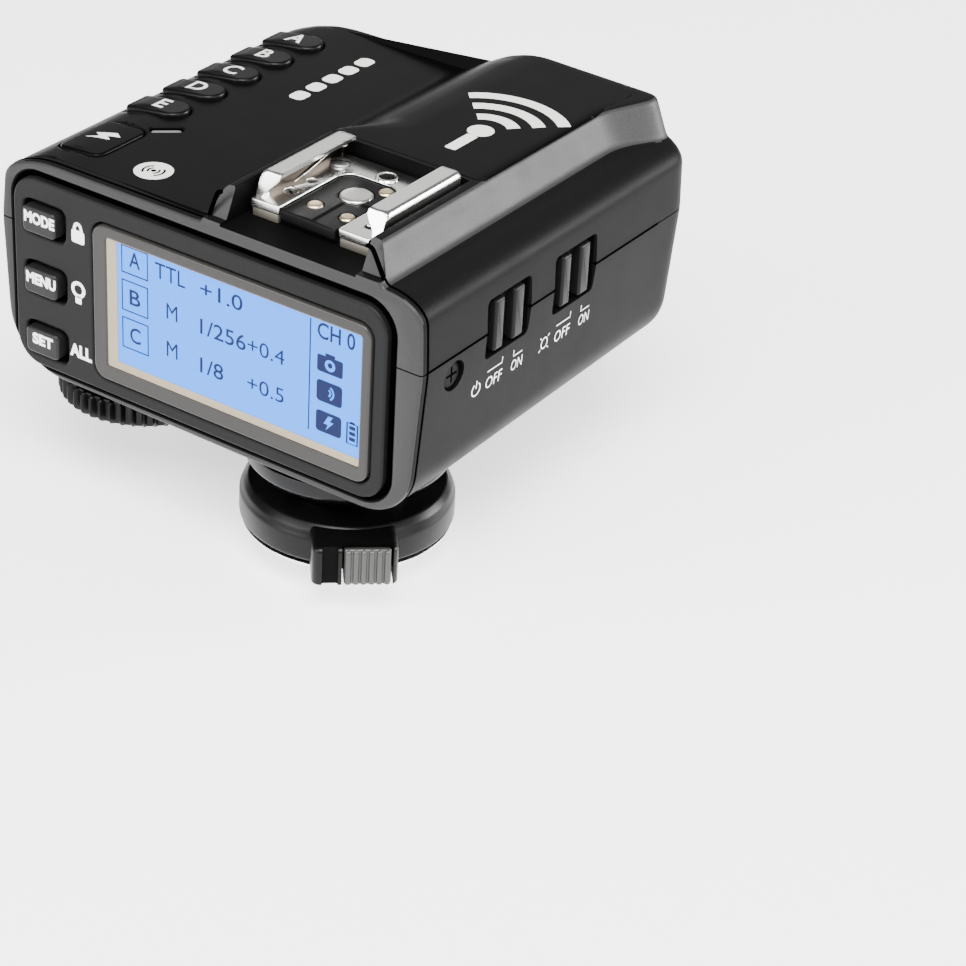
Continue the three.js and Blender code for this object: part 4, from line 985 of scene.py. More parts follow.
def display():
    low, high, rear = window_low, window_high, window_low[1]
    hole = rounded(*VIEW_X, *VIEW_Z, 0.35, 4)
    border = plate([around(low, high, 0, 2.1, 8), hole], facing_rear(rear), high[1] - rear, 0.3, 0, 4)
    piece("window_border", border, "border", node="display_window", smooth=30)
    outline = rounded(VIEW_X[0] - 0.05, VIEW_X[1] + 0.05, VIEW_Z[0] - 0.05, VIEW_Z[1] + 0.05, 0.3, 3)
    strip = plate([outline, rounded(*LIT_X, *LIT_Z, 0.2, 3)], facing_rear(rear + 0.22), 0.3, 0.04)
    piece("window_strip", strip, "strip")
    outline = rounded(VIEW_X[0] + 0.1, VIEW_X[1], *VIEW_Z, 0.3, 4)
    glass = plate([outline], facing_rear(rear + 0.34), 0.6, 0.05, 3.0)
    piece("lit_screen", glass, "screen", node="display_module")
    digits(rear + 0.315)


# Row, text, distance from the left, from the row's middle, width, height, boldness.
READOUT = [
    *[(row, "ABC"[row], 3.5, -0.1, 1.9, 2.4, 0.01) for row in range(3)],
    (0, "TTL", 9.7, -0.2, 5.2, 2.5, 0.0), (1, "M", 10, 0, 1.9, 2.5, 0.0), (2, "M", 10, 0, 1.9, 2.5, 0.0),
    (0, "+1.0", 18.5, -0.4, 7.2, 2.3, 0.003), (1, "1/256", 18.8, -0.3, 7.8, 2.4, 0.005),
    (2, "1/8", 16.9, -0.45, 4.0, 2.4, 0.005), (1, "+0.4", 26.1, -0.25, 6.2, 2.3, -0.002),
    (2, "+0.5", 26.1, -0.25, 6.2, 2.3, -0.002), (0, "CH 0", 37.6, 0.3, 6.1, 2.4, 0.01),
]
BOX_LINE, SIGN_X = 0.27, READOUT_LEFT + 36.7


def hollow_box(x0, x1, z0, z1, width):
    return stroke([(x0, z0), (x1, z0), (x1, z1), (x0, z1)], width, True)


def digits(y):
    """Read-outs: three groups with mode, power and correction, and a column of status signs."""
    left, rows = READOUT_LEFT, [READOUT_TOP - 1.35 - 5.8 * k for k in range(3)]
    made = Mesh()
    for z in rows:
        made.join(hollow_box(left + 1.25, left + 5.75, z - 2.4, min(z + 2.2, LIT_Z[1] - 0.1), BOX_LINE))
    for row, text, across, up, width, height, bold in READOUT:
        made.join(fitted(text, left + across, rows[row] + up, width, height, bold))
    made.join(stroke([(left + 33.4, LIT_Z[1] - 0.2), (left + 33.4, LIT_Z[0] + 1.5)], 0.2))
    made.join(camera_sign(SIGN_X, rows[0] - 4.35))
    waves = moved(wave_arcs([0.55, 1.05], 0.26, -60, 60, 6), -0.35, 0)
    for k, (sign, z) in enumerate(((waves, rows[1] - 2.8), (bolt(2.2), rows[2] - 1.6))):
        made.join(patch(SIGN_X - 2.1, SIGN_X + 2.1, z - 1.6, z + 1.6, 0.5, 3))
        printed(f"screen_sign_{k + 1}", on_rear(moved(sign, SIGN_X, z), y - PANEL_PRINT_LIFT), "screen")
    made.join(cell_sign(left + 40.6, rows[2] - 1.65))
    printed("screen_digits", on_rear(made, y), "digit")


def camera_sign(cx, cz):
    made = shape(rounded(cx - 2.1, cx + 2.1, cz - 1.4, cz + 1.1, 0.3, 3), circle(cx, cz - 0.15, 0.85, 20))
    made.join(patch(cx - 0.8, cx + 0.8, cz + 1.1, cz + 1.55, 0.12, 2))
    return made.join(shape(circle(cx, cz - 0.1, 0.4, 16)))


def cell_sign(cx, cz):
    """Upright cell with three bars and a cap."""
    made = hollow_box(cx - 0.85, cx + 0.85, cz - 1.7, cz + 1.4, 0.28)
    for k in range(3):
        made.join(patch(cx - 0.5, cx + 0.5, cz - 1.2 + 0.85 * k, cz - 0.65 + 0.85 * k, 0.05, 1))
    return made.join(patch(cx - 0.4, cx + 0.4, cz + 1.35, cz + 1.7, 0.05, 1))


# ---- right side: switches, print and screw ----
def switches():
    both = list(zip(("power", "assist"), SWITCH_Y))
    for name, y in both:
        node, body = f"{name}_switch_knob", f"{name}_slider"
        low, high = mm_box(node)
        # The web between the grips is deep black: painted shade in the slot.
        web = block(RIGHT - 2.6, RIGHT - 1.3, low[1], high[1], low[2] + 0.05, high[2] - 0.05, 0.3)
        web.join(block(RIGHT - 4.6, RIGHT - 2.5, y - 0.8, y + 0.8, SWITCH_Z - 0.8, SWITCH_Z + 0.8))
        piece(f"{name}_slider_web", web, "dark", body)
        grips = Mesh()
        for y0, y1 in ((low[1] + 0.1, low[1] + 2.2), (high[1] - 2.5, high[1] - 0.1)):
            outline = rounded(y0, y1, low[2] - 0.4, high[2] - 0.1, 0.3, 3)
            grips.join(along_x(outline, (0, RIGHT - 1.5), *edge_levels(RIGHT - 1.4, RIGHT + 0.02, 0, 0.4)[5:]))
        piece(f"{name}_slider", grips, "slider", body, node, 40)
    # Deep black trays behind the slots: painted shade seen through them.
    for name, y in both:
        tray = slab(RIGHT - 3.4, RIGHT - 2.75, y - 5.2, y + 5.2, SWITCH_Z - 5.1, SWITCH_Z + 4.2)
        piece(f"switch_tray_{name}", tray, "dark")


def wall_marks():
    power = stroke(arc(0, 0, 0.95, 0.95, 120, 420, 21), 0.22).join(stroke([(0, 0.15), (0, 1.35)], 0.22))
    lamp = stroke(arc(0, 0, 0.75, 0.85, 0, 360, 20)[:-1], 0.2, True)
    for ends in list(zip(circle(0, 0, 1.15, 8), circle(0, 0, 1.6, 8)))[1::2]:
        lamp.join(stroke(ends, 0.19))
    made = moved(power, -1.4, 31.6).join(moved(lamp, 14.95, 31.75))
    for base in (0.5, 17.15):
        made.join(moved(lettering("OFF", 1.85, -0.003, 1.05), base + 2.3, 31.4, wide=0.85))
        made.join(moved(lettering("ON", 1.75, -0.003, 1.05), base + 7.75, 31.5, wide=0.72))
        made.join(stroke([(base + 0.5, 33.3), (base + 3.9, 33.3), (base + 3.9, 34.2)], 0.18))
        made.join(stroke([(base + 8.8, 33.05), (base + 6.65, 33.05), (base + 6.65, 34.0)], 0.18))
    printed("wall_print", on_wall(made), "print")


def case_screw():
    r, face = SCREW_R, mm_box("case_screw")[1][0]
    head = spun([(0, face - 3), (0.9, face - 3), (0.9, face - 1.2), (r, face - 0.5), (r, face - 0.12),
                 (r - 0.5, face), (0, face)], 0.12, 40).mapped(lambda x, y, z: (z, y + SCREW_Y, x + SCREW_Z))
    made = to_object("head", head, "casing")
    for a, b in ((1.25, 0.26), (0.26, 1.25)):
        outline = rounded(SCREW_Y - a, SCREW_Y + a, SCREW_Z - b, SCREW_Z + b, 0.1, 2)
        cut(made, along_x(outline, (0.12, face - 1.0), (0, face + 1)))
    piece("case_screw_head", made, node="case_screw", smooth=32)


# ---- pass-through shoe ----
SCREWS = [(-7.4, 6.2), (7.4, 6.2), (-7.4, -4.6), (7.4, -4.6)]
SIDE_CONTACTS = [(-2.6, -5.6), (2.7, -5.6), (2.4, 3.4)]
PIN_X, PIN_Y = 0.15, 6.75
FOLD = 0.9
TIP, ARCH = 11, range(12, 18)  # places of the rail's lip and of its inner curve in its section


def rail_section(side):
    """Bent sheet: wall, lip and the soft curve inside them, as (x, z)."""
    outer, lip, top = RAIL_OUTER, RAIL_LIP, RAIL_TOP
    points = [(outer, PLATE_TOP - SHEET), (outer, top - FOLD),
              *arc(outer - FOLD, top - FOLD, FOLD, FOLD, 15, 90, 5),
              (lip + 0.15, top), (lip, top - 0.15), (lip, top - 0.62), (lip + 0.12, top - 0.75),
              *arc(outer - 2.6, top - 2.45, 1.7, 1.7, 90, 0, 5), (outer - FOLD, PLATE_TOP - SHEET)]
    return [(side * x, z) for x, z in points]


def rail_ring(section, side, y, rake):
    """Section of a rail at y: filled by a gusset and raked back at the rear, slightly smaller at its ends."""
    tip, root = np.array(section[TIP]), np.array((side * (RAIL_OUTER - FOLD), PLATE_TOP - 0.2))
    gusset = min(1.0, max(0.0, (RAIL_REAR + 1.3 - y) / 0.4))
    ring = []
    for i, (x, z) in enumerate(section):
        if i in ARCH:
            straight = tip + (root - tip) * (i - TIP) / 6.5
            x, z = x + (straight[0] - x) * gusset, z + (straight[1] - z) * gusset
        up = max(0.0, (z - PLATE_TOP) / (RAIL_TOP - PLATE_TOP))
        back = (1.5 * (1 - min(1.0, up)) - 0.3 * up) * max(0.0, 1 - (y - RAIL_REAR) / 3) if y < 0 else 0.0
        ring.append((x * (1 - 0.012 * rake * (abs(x) > 9)), y - back, z - 0.28 * rake * up))
    return ring


def rails():
    rear = [(RAIL_REAR + d, rake) for d, rake in ((0, 1.0), (0.08, 0.5), (0.3, 0.12), (0.9, 0.0), (1.3, 0.0))]
    front = [(SHOE_FRONT - d, rake) for d, rake in ((0.8, 0.0), (0.3, 0.15), (0.06, 0.5), (0, 1.0))]
    for side, name in ((-1, "rail_left"), (1, "rail_right")):
        section = rail_section(side)
        rings = [rail_ring(section, side, y, rake) for y, rake in rear + front]
        rail = to_object(name, lofted(rings), "steel", "painted_shade_steel", smooth=38)
        # The rails' inner walls below the lip get the dark brown steel: painted shade.
        for face in rail.data.polygons:
            inward = -side * face.normal.x > 0.3 and face.center.y > (RAIL_REAR + 1.0) * MM
            if inward and face.center.z < (RAIL_TOP - 0.7) * MM:
                face.material_index = 1
        piece(name, rail, smooth=38)


def shoe():
    rails()
    rear, front, left, right, end = RAIL_REAR, SHOE_FRONT, -5.5, 4.1, 5.1
    mouth = [(left, rear - 2.2, 0.3), (left, end, 2.6), (right, end, 2.6), (right, rear - 2.2, 0.3)]
    outline = corner_path([(-10.2, rear - 2.4, 0.35), *mouth, (9.2, rear - 2.2, 0.35), (9.2, rear + 0.6, 0.2),
                           (10.1, rear + 0.9, 0.3), (10.1, front, 0.9), (-10.2, front, 0.9)])
    holes = [circle(PIN_X, PIN_Y, 1.25, 32), *[circle(x, y, 0.95, 24) for x, y in SCREWS],
             circle(-7.1, -0.4, 0.75, 20), rounded(6.3, 8.6, -7.1, -6.2, 0.4, 4)]
    floor = plate([outline, *holes], facing_down(PLATE_TOP, -1), SHEET, 0.16, 0, 4)
    piece("shoe_floor", floor, "steel", node="shoe_plate", smooth=32)
    top = PLATE_TOP + 0.3
    rim = spun([(1.15, top - 0.5), (1.15, top), (1.55, top), (1.75, top - 0.35)], 0.12, 40, PIN_X, PIN_Y)
    piece("pin_rim", rim, "steel", smooth=60, closed=False)
    under, top = Mesh(), PLATE_TOP - SHEET - 0.3
    for x0, x1 in ((-10.1, -5.7), (4.3, 9.2)):
        under.join(block(x0, x1, rear - 2.1, rear + 1.5, top - 1.25, top, 0.3))
    piece("shoe_underlay", under, "dull")


def shoe_inside():
    low, high = mm_box("shoe_insulator")
    outline = corner_path([(-5.2, low[1], 0.3), (3.8, low[1], 0.3), (3.8, 4.8, 2.3), (-5.2, 4.8, 2.3)])
    wells = [circle(0, 0, 2.42, 40), *[circle(x, y, 1.2, 24) for x, y in SIDE_CONTACTS]]

    def stepped(x, y, drop):
        return x, y, high[2] - drop - (0.22 if x > -0.2 and y < -1.6 else 0)

    pad = plate([outline, *wells], stepped, 1.3, 0.18, 0.35, 4)
    pad.join(block(-10.6, 10.6, low[1] + 0.9, 9.2, RECESS_FLOOR + 0.05, 51.5, 0.4))
    pad.join(block(-5.0, 3.6, low[1] + 0.1, 4.4, 51.3, 51.8, 0.4))
    piece("shoe_insulator_pad", pad, "insulator", node="shoe_insulator", smooth=32)
    root, top = 51.6, 53.0
    main = spun([(0, root), (2.3, root), (2.3, top - 0.25), (2.05, top - 0.05), (1.5, top), (0, top)], 0.2, 48)
    piece("contact_centre", main, "pad", node="shoe_contact_main")
    for i, (x, y) in enumerate(SIDE_CONTACTS):
        top = 52.75 if x > 0 and y < 0 else 52.95
        small = spun([(0, root), (1.1, root), (1.1, top - 0.2), (0.8, top), (0, top + 0.03)], 0.15, 32, x, y)
        piece(f"contact_side_{i + 1}", small, "gold", node=f"shoe_contact_{i + 1}")
    for name in ("shoe_spring_left", "shoe_spring_right"):
        spring_leaf(name)
    for i, (x, y) in enumerate(SCREWS):
        shoe_screw(f"shoe_screw_{i + 1}", x, y, 0.5 + i)


def spring_leaf(name):
    low, high = mm_box(name)
    path = [(low[1], low[2] + 0.05), (low[1] + 3.6, 53.85), (5.0, high[2] - 0.12), (6.4, high[2] - 0.1),
            (high[1], high[2] - 0.6)]
    ys = np.linspace(path[0][0], path[-1][0], 24)
    zs = np.interp(ys, [p[0] for p in path], [p[1] for p in path])
    zs = np.convolve(np.pad(zs, 2, "edge"), np.ones(5) / 5, "valid")
    cx, wide = (low[0] + high[0]) / 2, (high[0] - low[0]) / 2
    rings = []
    for y, z in zip(ys, zs):
        half = wide * (0.3 + 0.1 * min(1, (y - ys[0]) / 3))
        rings.append([(cx - half, y, z), (cx + half, y, z), (cx + half, y, z + 0.16), (cx - half, y, z + 0.16)])
    leaf = to_object(name, lofted(rings), "spring", smooth=30)
    edge = leaf.modifiers.new("edge", "BEVEL")
    edge.width, edge.segments, edge.limit_method = 0.03 * MM, 3, "ANGLE"
    edge.angle_limit, edge.harden_normals = math.radians(40), True
    piece(f"{name}_leaf", leaf, node=name, smooth=30)


def shoe_screw(node, x, y, turn):
    """Slotted screw; the two at the rear are black and sunk."""
    sunk, raised = (-0.25, 0.9, 0.88, 0.7, "black_screw"), (0.42, 1.45, 1.4, 1.0, "screw")
    up, neck, edge, crown, look = sunk if y < 0 else raised
    top, low = PLATE_TOP + up, PLATE_TOP + up - 0.4
    profile = [(0, 51.2), (0.7, 51.2), (0.7, low), (neck, low), (edge, top - 0.12), (crown, top), (0, top)]
    head = to_object(node, spun(profile, 0.1, 32), look)
    cut(head, block(-1.6, 1.6, -0.16, 0.16, top - 0.28, top + 1))
    shade(head.data, 32)
    head.data.transform(Matrix.Translation(Vector((x, y, 0)) * MM) @ Matrix.Rotation(turn, 4, "Z"))
    piece(f"{node}_head", head, node=node, smooth=32)


# ---- dial, locking ring and foot ----
RIDGE = ((0.0, 1.0), (0.06, 1.0), (0.15, 0.8), (0.24, 0.12), (0.3, 0.0), (0.8, 0.0), (0.86, 0.15), (0.94, 0.85))
DIAL_TEETH, DIAL_HIGH, DISH = 48, 3.8, 0.8


def ridged(cx, cy, r, depth):
    """Ring of rounded ridges with narrower grooves between them."""
    out = []
    for i in range(DIAL_TEETH):
        for share, height in RIDGE:
            a, at = 2 * math.pi * (i + share) / DIAL_TEETH, r - depth + depth * height
            out.append((cx + at * math.cos(a), cy + at * math.sin(a)))
    return out


def dial():
    (cx, cy, _), (r, _, _) = middle_of("select_dial")
    z0 = mm_box("select_dial")[0][2]
    z1 = z0 + DIAL_HIGH
    levels = ((z0 + DISH, 8.9, 0), (z0 + 0.1, 9.4, 0), (z0, 9.55, 0), (z0, r - 1.35, 0.05),
              (z0 + 0.16, r - 0.85, 0.3), (z0 + 0.45, r - 0.35, 0.75), (z0 + 0.85, r - 0.06, 1.05),
              (z0 + 1.3, r, 1.1), (z1 - 0.5, r, 1.1),
              (z1 - 0.2, r - 0.1, 0.8), (z1, r - 0.4, 0.5), (z1, 5.4, 0), (19.4, 5.4, 0))
    wheel = lofted([[(x, y, z) for x, y in ridged(cx, cy, out, depth)] for z, out, depth in levels])
    piece("dial_wheel", wheel, "dial", "dial", "select_dial", 42)
    marks = Mesh()
    for k in range(6):
        marks.join(moved(patch(6.2, 7.8, -0.25, 0.25, 0.2, 3), cx, cy, 60 * k))
    printed("dial_dish_marks", marks.mapped(lambda x, y, z: (x, y, z0 + DISH - 0.015)), "key", "dial")


FOOT_CONTACTS, FOOT_PIN = SIDE_CONTACTS, (0, 5.9)
FOOT_ROOT = 5.4


def foot():
    r, _, top = mm_box("foot_base")[1]
    neck = NECK
    base = to_object("neck", spun([(0, 2.5), (6.1, 2.5), (6.1, 4), (neck, 4.0), (neck, 12.9), (r - 2.4, 12.9),
                                   (r - 0.7, 13.1), (r, 14.0), (r, 16.05), (neck - 0.1, 16.05),
                                   (neck - 0.1, top), (0, top)], 0.25, 96), "foot")
    for x, y, hole in ((0, 0, 2.2), *[(*p, 1.15) for p in (*FOOT_CONTACTS, FOOT_PIN)]):
        cut(base, rod(hole, 1.0, 7.2, 40, x, y))
    piece("foot_neck", base, node="foot_base")
    w, length, _ = mm_box("foot_plate")[1]
    outline, well = rounded(-w, w, -length, length, 1.2, 8), rounded(-4.2, 4.2, -7.4, 4.4, 1.5, 8)
    slide = plate([outline, well, circle(*FOOT_PIN, 1.15, 32)], facing_down(0), 1.9, 0.22, 0, 4)
    piece("foot_slide_plate", slide, "steel", node="foot_plate", smooth=32)
    piece("foot_neck_ring", tube(5.2, 6.1, 1.85, 2.3, 0.08, 64), "steel", smooth=40)
    wells = [circle(0, 0, 2.2, 40), *[circle(x, y, 1.15, 28) for x, y in FOOT_CONTACTS]]
    pad = plate([rounded(-4, 4, -7.2, 4.2, 1.4, 8), *wells], facing_down(0.06), 2.1, 0.15)
    piece("foot_contact_pad", pad, "insulator", node="foot_insulator", smooth=32)
    foot_pin("foot_contact_centre", "foot_contact_main", "contact_main", "pad",
             (0, 0), ((1.5, 0.05), (1.95, 0.5)), 0.2, 48)
    for i, place in enumerate(FOOT_CONTACTS):
        foot_pin(f"foot_contact_side_{i + 1}", f"foot_contact_{i + 1}", f"contact_{i + 1}",
                 "gold", place, ((0.55, 0.08), (0.92, 0.5)), 0.15)
    foot_pin("lock_pin_steel", "lock_pin", "pin", "steel",
             FOOT_PIN, ((0.6, 0), (0.95, 0.4)), 0.12)


def foot_pin(name, node, body, look, place, nose, reach, count=32):
    """Contact or locking pin with a rounded nose, given as (radius, height above the tip)."""
    tip = mm_box(node)[0][2]
    profile = [(0, tip), *[(r, tip + up) for r, up in nose], (nose[-1][0], FOOT_ROOT), (0, FOOT_ROOT)]
    piece(name, spun(profile, reach, count, *place), look, body, node)


LUG_ANGLE, LUG_REACH, LUG_HALF = -50, 19.2, 5.9
PRESS = 1.2  # the release button moves in by this much, and a little clearance
BUTTON_LEFT, BUTTON_RIGHT, RIBS = -1.5, 4.9, 6


def lug_prism(t0, t1, near, far, r, steps, levels):
    """Upright block on the ring's lug: from t0 to t1 across it, near to far out from the axis."""
    c, s = math.cos(math.radians(LUG_ANGLE)), math.sin(math.radians(LUG_ANGLE))
    return prism(rounded(t0, t1, near, far, r, steps), levels).mapped(
        lambda t, out, z: (out * c - t * s, out * s + t * c, z))


def lock_ring():
    low, high = mm_box("lock_ring")
    r, inner, z0, z1 = high[1], 9.7, low[2], high[2]
    hoop = spun([(inner, z0), (r - 0.9, z0), (r, z0 + 0.8), (r, z1 - 2.1), (r - 0.25, z1 - 1.6),
                 (r - 0.5, z1 - 0.9), (r - 1.3, z1), (inner, z1)], 0.25, 112, closed=True)
    ring = to_object("ring", hoop, "dial")
    levels = edge_levels(z0 + 0.02, z1 - 0.3, 0.3, 0.75, 5)
    lug = lug_prism(-LUG_HALF, LUG_HALF, inner + 1, LUG_REACH, 1.3, 8, levels)
    cut(ring, lug, "dial", "UNION")
    t0, t1, below = BUTTON_LEFT - GAP, BUTTON_RIGHT + GAP, z0 - 1.3
    # The pocket's and the groove's walls take the deep black: painted shade in them.
    cut(ring, lug_prism(t0, t1, 13, 30, 0.2, 2, [(0, below), (0, 8.4)]))
    for a, b, out in ((t0, t1, 18.2 - PRESS), (-4.5, -2.3, 18.5)):
        cut(ring, lug_prism(a, b, out, 30, 0.3, 3, [(0, below), (0, z1 + 2)]))
    piece("lock_ring_body", ring, None, "ring", "lock_ring")
    washer = tube(inner, r - 0.35, 3.0, 3.34, 0.06, 96)
    piece("clamp_washer_steel", washer, "steel", "washer", "clamp_washer", 40)
    release_button(z1)


def release_button(top):
    left, right, low = BUTTON_LEFT, BUTTON_RIGHT, 3.65
    made = lug_prism(left, right, 14.8, 19.0, 0.25, 3, edge_levels(low, 8.1, 0.15, 0.3, 3))
    made.join(lug_prism(left, right, 18.4, 19.1, 0.25, 3, edge_levels(low, top - 0.45, 0.15, 0.3, 3)))
    pitch, levels = (right - left) / RIBS, edge_levels(low + 0.05, top - 0.5, 0.2, 0.5, 3)
    for i in range(RIBS):
        made.join(lug_prism(left + pitch * (i + 0.12), left + pitch * (i + 0.88), 18.5, 19.48, 0.3, 4, levels))
    piece("release_ribs", made, "release", "release", "release_button", 40)


# ---- battery compartment ----
HINGE_Y, HINGE_Z = 47.6, 18.6
ARROW = ((-2.4, 2.4), (0, 0), (2.4, 2.4), (2.4, 3.0), (0, 0.7), (-2.4, 3.0))


def about_x(mesh, y, z):
    """Lays a solid of revolution along X, about an axis at (y, z)."""
    return mesh.mapped(lambda a, b, c: (c, a + y, b + z))


def battery_door():
    low, high = mm_box("battery_door")
    x0, x1, y0, y1, bottom = low[0], high[0], low[1], 46.2, low[2]
    middle = (x0 + x1) / 2
    made = plate([rounded(x0, x1, y0, y1, 0.9)], facing_down(bottom), 1.45, 0.3, 0, 4)
    door = to_object("door", made, "casing")
    cut(door, prism([(middle + a, y0 + 9 + b) for a, b in ARROW], [(0, bottom - 1), (0, bottom + 0.35)]))
    for k in range(9):
        x = middle - 8 + 2 * k
        cut(door, block(x - 0.4, x + 0.4, y0 + 2.0, y0 + 6.4, bottom - 1, bottom + 0.4), "casing")
    piece("door_panel", door, None, "door", "battery_door")
    knuckles = Mesh()
    for x in (x0 + 5, x1 - 5):
        knuckles.join(about_x(tube(0.86, 1.5, x - 3, x + 3, 0.12, 32), HINGE_Y, HINGE_Z))
        knuckles.join(block(x - 2.9, x + 2.9, y1 - 1.5, HINGE_Y - 1.0, 17.1, 18.9, 0.3))
    piece("door_knuckles", knuckles, "casing", "door", smooth=40)
    left, right = (corner[0] for corner in mm_box("door_pin"))
    pin = about_x(spun([(0, left), (0.78, left), (0.78, right), (0, right)], 0.1, 24), HINGE_Y, HINGE_Z)
    piece("door_pin_rod", pin, "steel", node="door_pin", smooth=40)


def cells():
    for node, flip in (("cell_1", 1), ("cell_2", -1)):
        (cx, cy, cz), (half, _, r) = middle_of(node)

        def laid(a, b, c):
            return cx + flip * c, cy + a, cz + flip * b

        can = spun([(0, -half), (r - 1.2, -half), (r - 0.25, -half + 0.25), (r, -half + 0.9), (r, half - 2.2),
                    (r - 0.5, half - 1.5), (r - 1.6, half - 1.1), (2.75, half - 1.1), (2.6, half - 0.1),
                    (0, half)], 0.25)
        sleeve = tube(r - 0.3, r, -half + 1.1, half - 14, 0.05, 64)
        piece(f"{node}_can", can.mapped(laid), "cell_band", node=node, smooth=32)
        piece(f"{node}_sleeve", sleeve.mapped(laid), "cell", smooth=40)
    for node, start, way in (("cell_spring_1", 0, 1), ("cell_spring_2", 1, -1)):
        (_, cy, cz), (half, _, wide) = middle_of(node)
        end, path = mm_box(node)[start][0], []
        for s in np.linspace(0, 1, 90):
            turn, r = 2 * math.pi * 3.25 * s, (wide - 0.3) * (1 - 0.45 * s)
            x = end + way * (0.3 + (2 * half - 0.6) * s)
            path.append((x, cy + r * math.cos(turn), cz + r * math.sin(turn)))
        piece(f"{node}_coil", piping(path, 0.26, 10), "spring", node=node, smooth=60)


# ---- sockets, boards and the assist light ----
def sockets():
    (_, cy, cz), (_, half, tall) = middle_of("usb_socket")
    left, right = (corner[0] for corner in mm_box("usb_socket"))
    outline, hole = (rounded(cy - half + d, cy + half - d, cz - tall + d, cz + tall - d, tall - r, 8)
                     for d, r in ((0, 0.05), (0.35, 0.42)))
    shell = plate([outline, hole], lambda y, z, drop: (left + drop, y, z), right - left - 1, 0.08)
    piece("usb_shell", shell, "steel", node="usb_socket", smooth=40)
    tongue = block(left + 0.9, right - 0.5, cy - 2.6, cy + 2.6, cz - 0.35, cz + 0.35, 0.1)
    wide, high = half - 0.4, tall - 0.4
    tongue.join(block(right - 1.2, right - 0.6, cy - wide, cy + wide, cz - high, cz + high))
    piece("usb_tongue", tongue, "dark")
    pads = Mesh()
    for k in range(8):
        y = cy - 2.1 + 0.6 * k
        pads.join(block(left + 1.0, left + 3.5, y - 0.13, y + 0.13, cz + 0.3, cz + 0.39))
    piece("usb_pads", pads, "gold")
    (_, cy, cz), (_, _, r) = middle_of("sync_socket")
    left, right = (corner[0] for corner in mm_box("sync_socket"))
    jack = about_x(tube(1.3, r - 0.1, left, right, 0.2, 48), cy, cz)
    piece("sync_jack", jack, "foot", node="sync_socket")
    piece("sync_sleeve", about_x(tube(1.15, 1.6, left + 0.25, right - 0.3, 0.1, 40), cy, cz), "steel")


CHIPS, CHIP_PINS = 16, 4


def boards():
    chips, joints = Mesh(), Mesh()
    rng = random.Random(7)
    low, high = mm_box("main_board")
    for _ in range(CHIPS):
        x, y = rng.uniform(low[0] + 14, high[0] - 6), rng.uniform(low[1] + 3, high[1] - 3)
        w, d, t = rng.uniform(0.8, 2.6), rng.uniform(0.8, 2.6), rng.uniform(0.4, 0.9)
        chips.join(block(x - w, x + w, y - d, y + d, low[2] - t, low[2] + 0.05, 0.08))
        for at in (x - w, x + w):
            for i in range(CHIP_PINS):
                pin = y - d + 2 * d * (i + 0.5) / CHIP_PINS
                joints.join(block(at - 0.25, at + 0.25, pin - 0.1, pin + 0.1, low[2] - 0.2, low[2] + 0.02))
    printed("board_chips", chips, "chip")
    printed("board_solder", joints, "screw")
    low, high = mm_box("radio_module")
    piece("radio_can", plate([around(low, high, -1, 0.6, 5, (0, 1))], facing_down(low[2]), 0.6, 0.15), "screw")


def assist():
    low, high = mm_box("assist_window")
    made = plate([around(low, high, 0, 3.0, 12)],
                 lambda x, z, drop: (x, high[1] - 0.02 - drop - 0.35 * abs(x / high[0]) ** 3, z),
                 high[1] - low[1] - 0.4, 0.35, 1.4, 4)
    piece("assist_lens", made, "red", node="assist_window", smooth=40)


REST = {"dark": ["display_module"], "chip": ["dial_encoder", "power_switch_body", "assist_switch_body"],
        "spring": ["cell_bridge"], "board": ["main_board", "key_board", "radio_module"],
        "lamp": ["assist_lamp"]}


def kept_nodes():
    """Inner CAD parts that stay as they are, with a material of their own."""
    for look, nodes in REST.items():
        for node in nodes:
            obj = bpy.data.objects.get(node)
            if obj is not None and obj.type == "MESH":
                obj.data.materials.clear()
                obj.data.materials.append(LOOK[look])


for build in (shells, inlay, top_keys, top_marks, frame_seam, rear_panel, rear_keys, panel_marks, display,
              switches, wall_marks, case_screw, shoe, shoe_inside, dial, foot, lock_ring, battery_door, cells,
              sockets, boards, assist, kept_nodes):
    build()


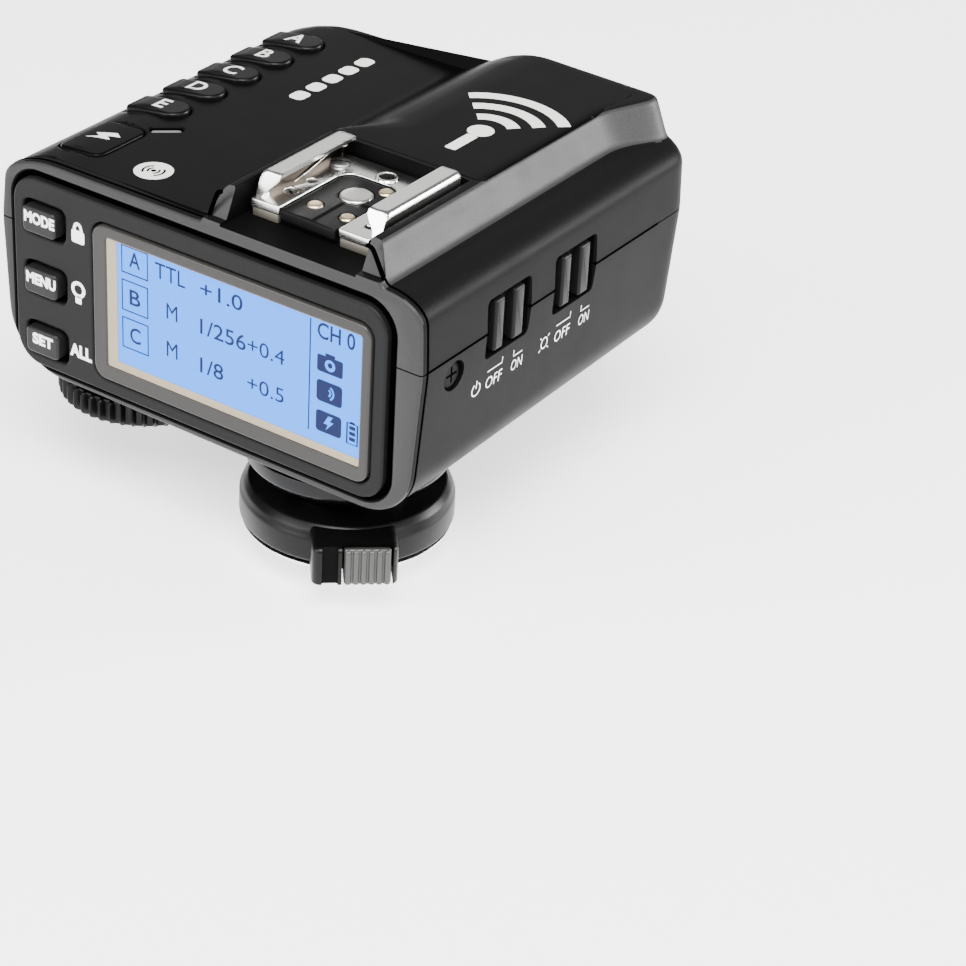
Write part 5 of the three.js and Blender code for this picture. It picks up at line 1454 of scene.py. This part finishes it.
# ---- studio ----
LAMPS = [("key", (-0.35, -0.8, 0.42), 0.6, 14), ("side", (0.9, -0.05, 0.4), 0.6, 8),
         ("top", (0.35, -0.5, 0.95), 0.7, 42), ("back", (-0.55, 0.86, 0.62), 0.8, 1.8),
         ("brow", (0.75, 0.86, 0.36), 0.45, 26)]
LIT_POINT, FLOOR_GAP, FLOOR_SIZE = Vector((-0.01, 0.018, 0.035)), 0.0005, 6
AZIMUTH, ELEVATION, ROLL = math.radians(32.82), math.radians(31.46), math.radians(3.38)
AIM = Vector((7.47, 23.42, -0.22)) * MM
DISTANCE, LENS = 430 * MM, 109.4


def studio():
    low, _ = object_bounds()
    bpy.ops.mesh.primitive_plane_add(size=FLOOR_SIZE, location=(0, 0, low.z - FLOOR_GAP))
    floor = bpy.context.object
    floor.name = "floor"
    paper = shader("floor_paper", (0.94, 0.94, 0.94), 0.8, mottle=0.01, specular=0.2, glow=((1, 1, 1), 0.9))
    floor.data.materials.append(paper)
    floor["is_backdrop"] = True
    world = bpy.data.worlds.new("studio")
    bpy.context.scene.world = world
    world.use_nodes = True
    sky = world.node_tree.nodes["Background"].inputs
    sky["Color"].default_value = (1, 1, 1, 1)
    sky["Strength"].default_value = 0.2
    for name, place, size, power in LAMPS:
        data = bpy.data.lights.new(name, "AREA")
        data.size, data.energy = size, power
        lamp = bpy.data.objects.new(name, data)
        lamp.location = place
        lamp.rotation_euler = (LIT_POINT - Vector(place)).to_track_quat("-Z", "Y").to_euler()
        bpy.context.scene.collection.objects.link(lamp)


def camera():
    level = Vector((math.cos(AZIMUTH), math.sin(AZIMUTH), 0))
    flat = math.cos(ELEVATION)
    back = Vector((math.sin(AZIMUTH) * flat, -math.cos(AZIMUTH) * flat, math.sin(ELEVATION)))
    upright = back.cross(level)
    right = level * math.cos(ROLL) + upright * math.sin(ROLL)
    up = upright * math.cos(ROLL) - level * math.sin(ROLL)
    data = bpy.data.cameras.new("camera")
    data.lens, data.sensor_width, data.clip_start, data.clip_end = LENS, 36, 0.01, 20
    cam = bpy.data.objects.new("camera", data)
    turn = Matrix((right, up, back)).transposed().to_4x4()
    cam.matrix_world = Matrix.Translation(AIM + back * DISTANCE) @ turn
    bpy.context.scene.collection.objects.link(cam)
    bpy.context.scene.camera = cam


camera()
studio()
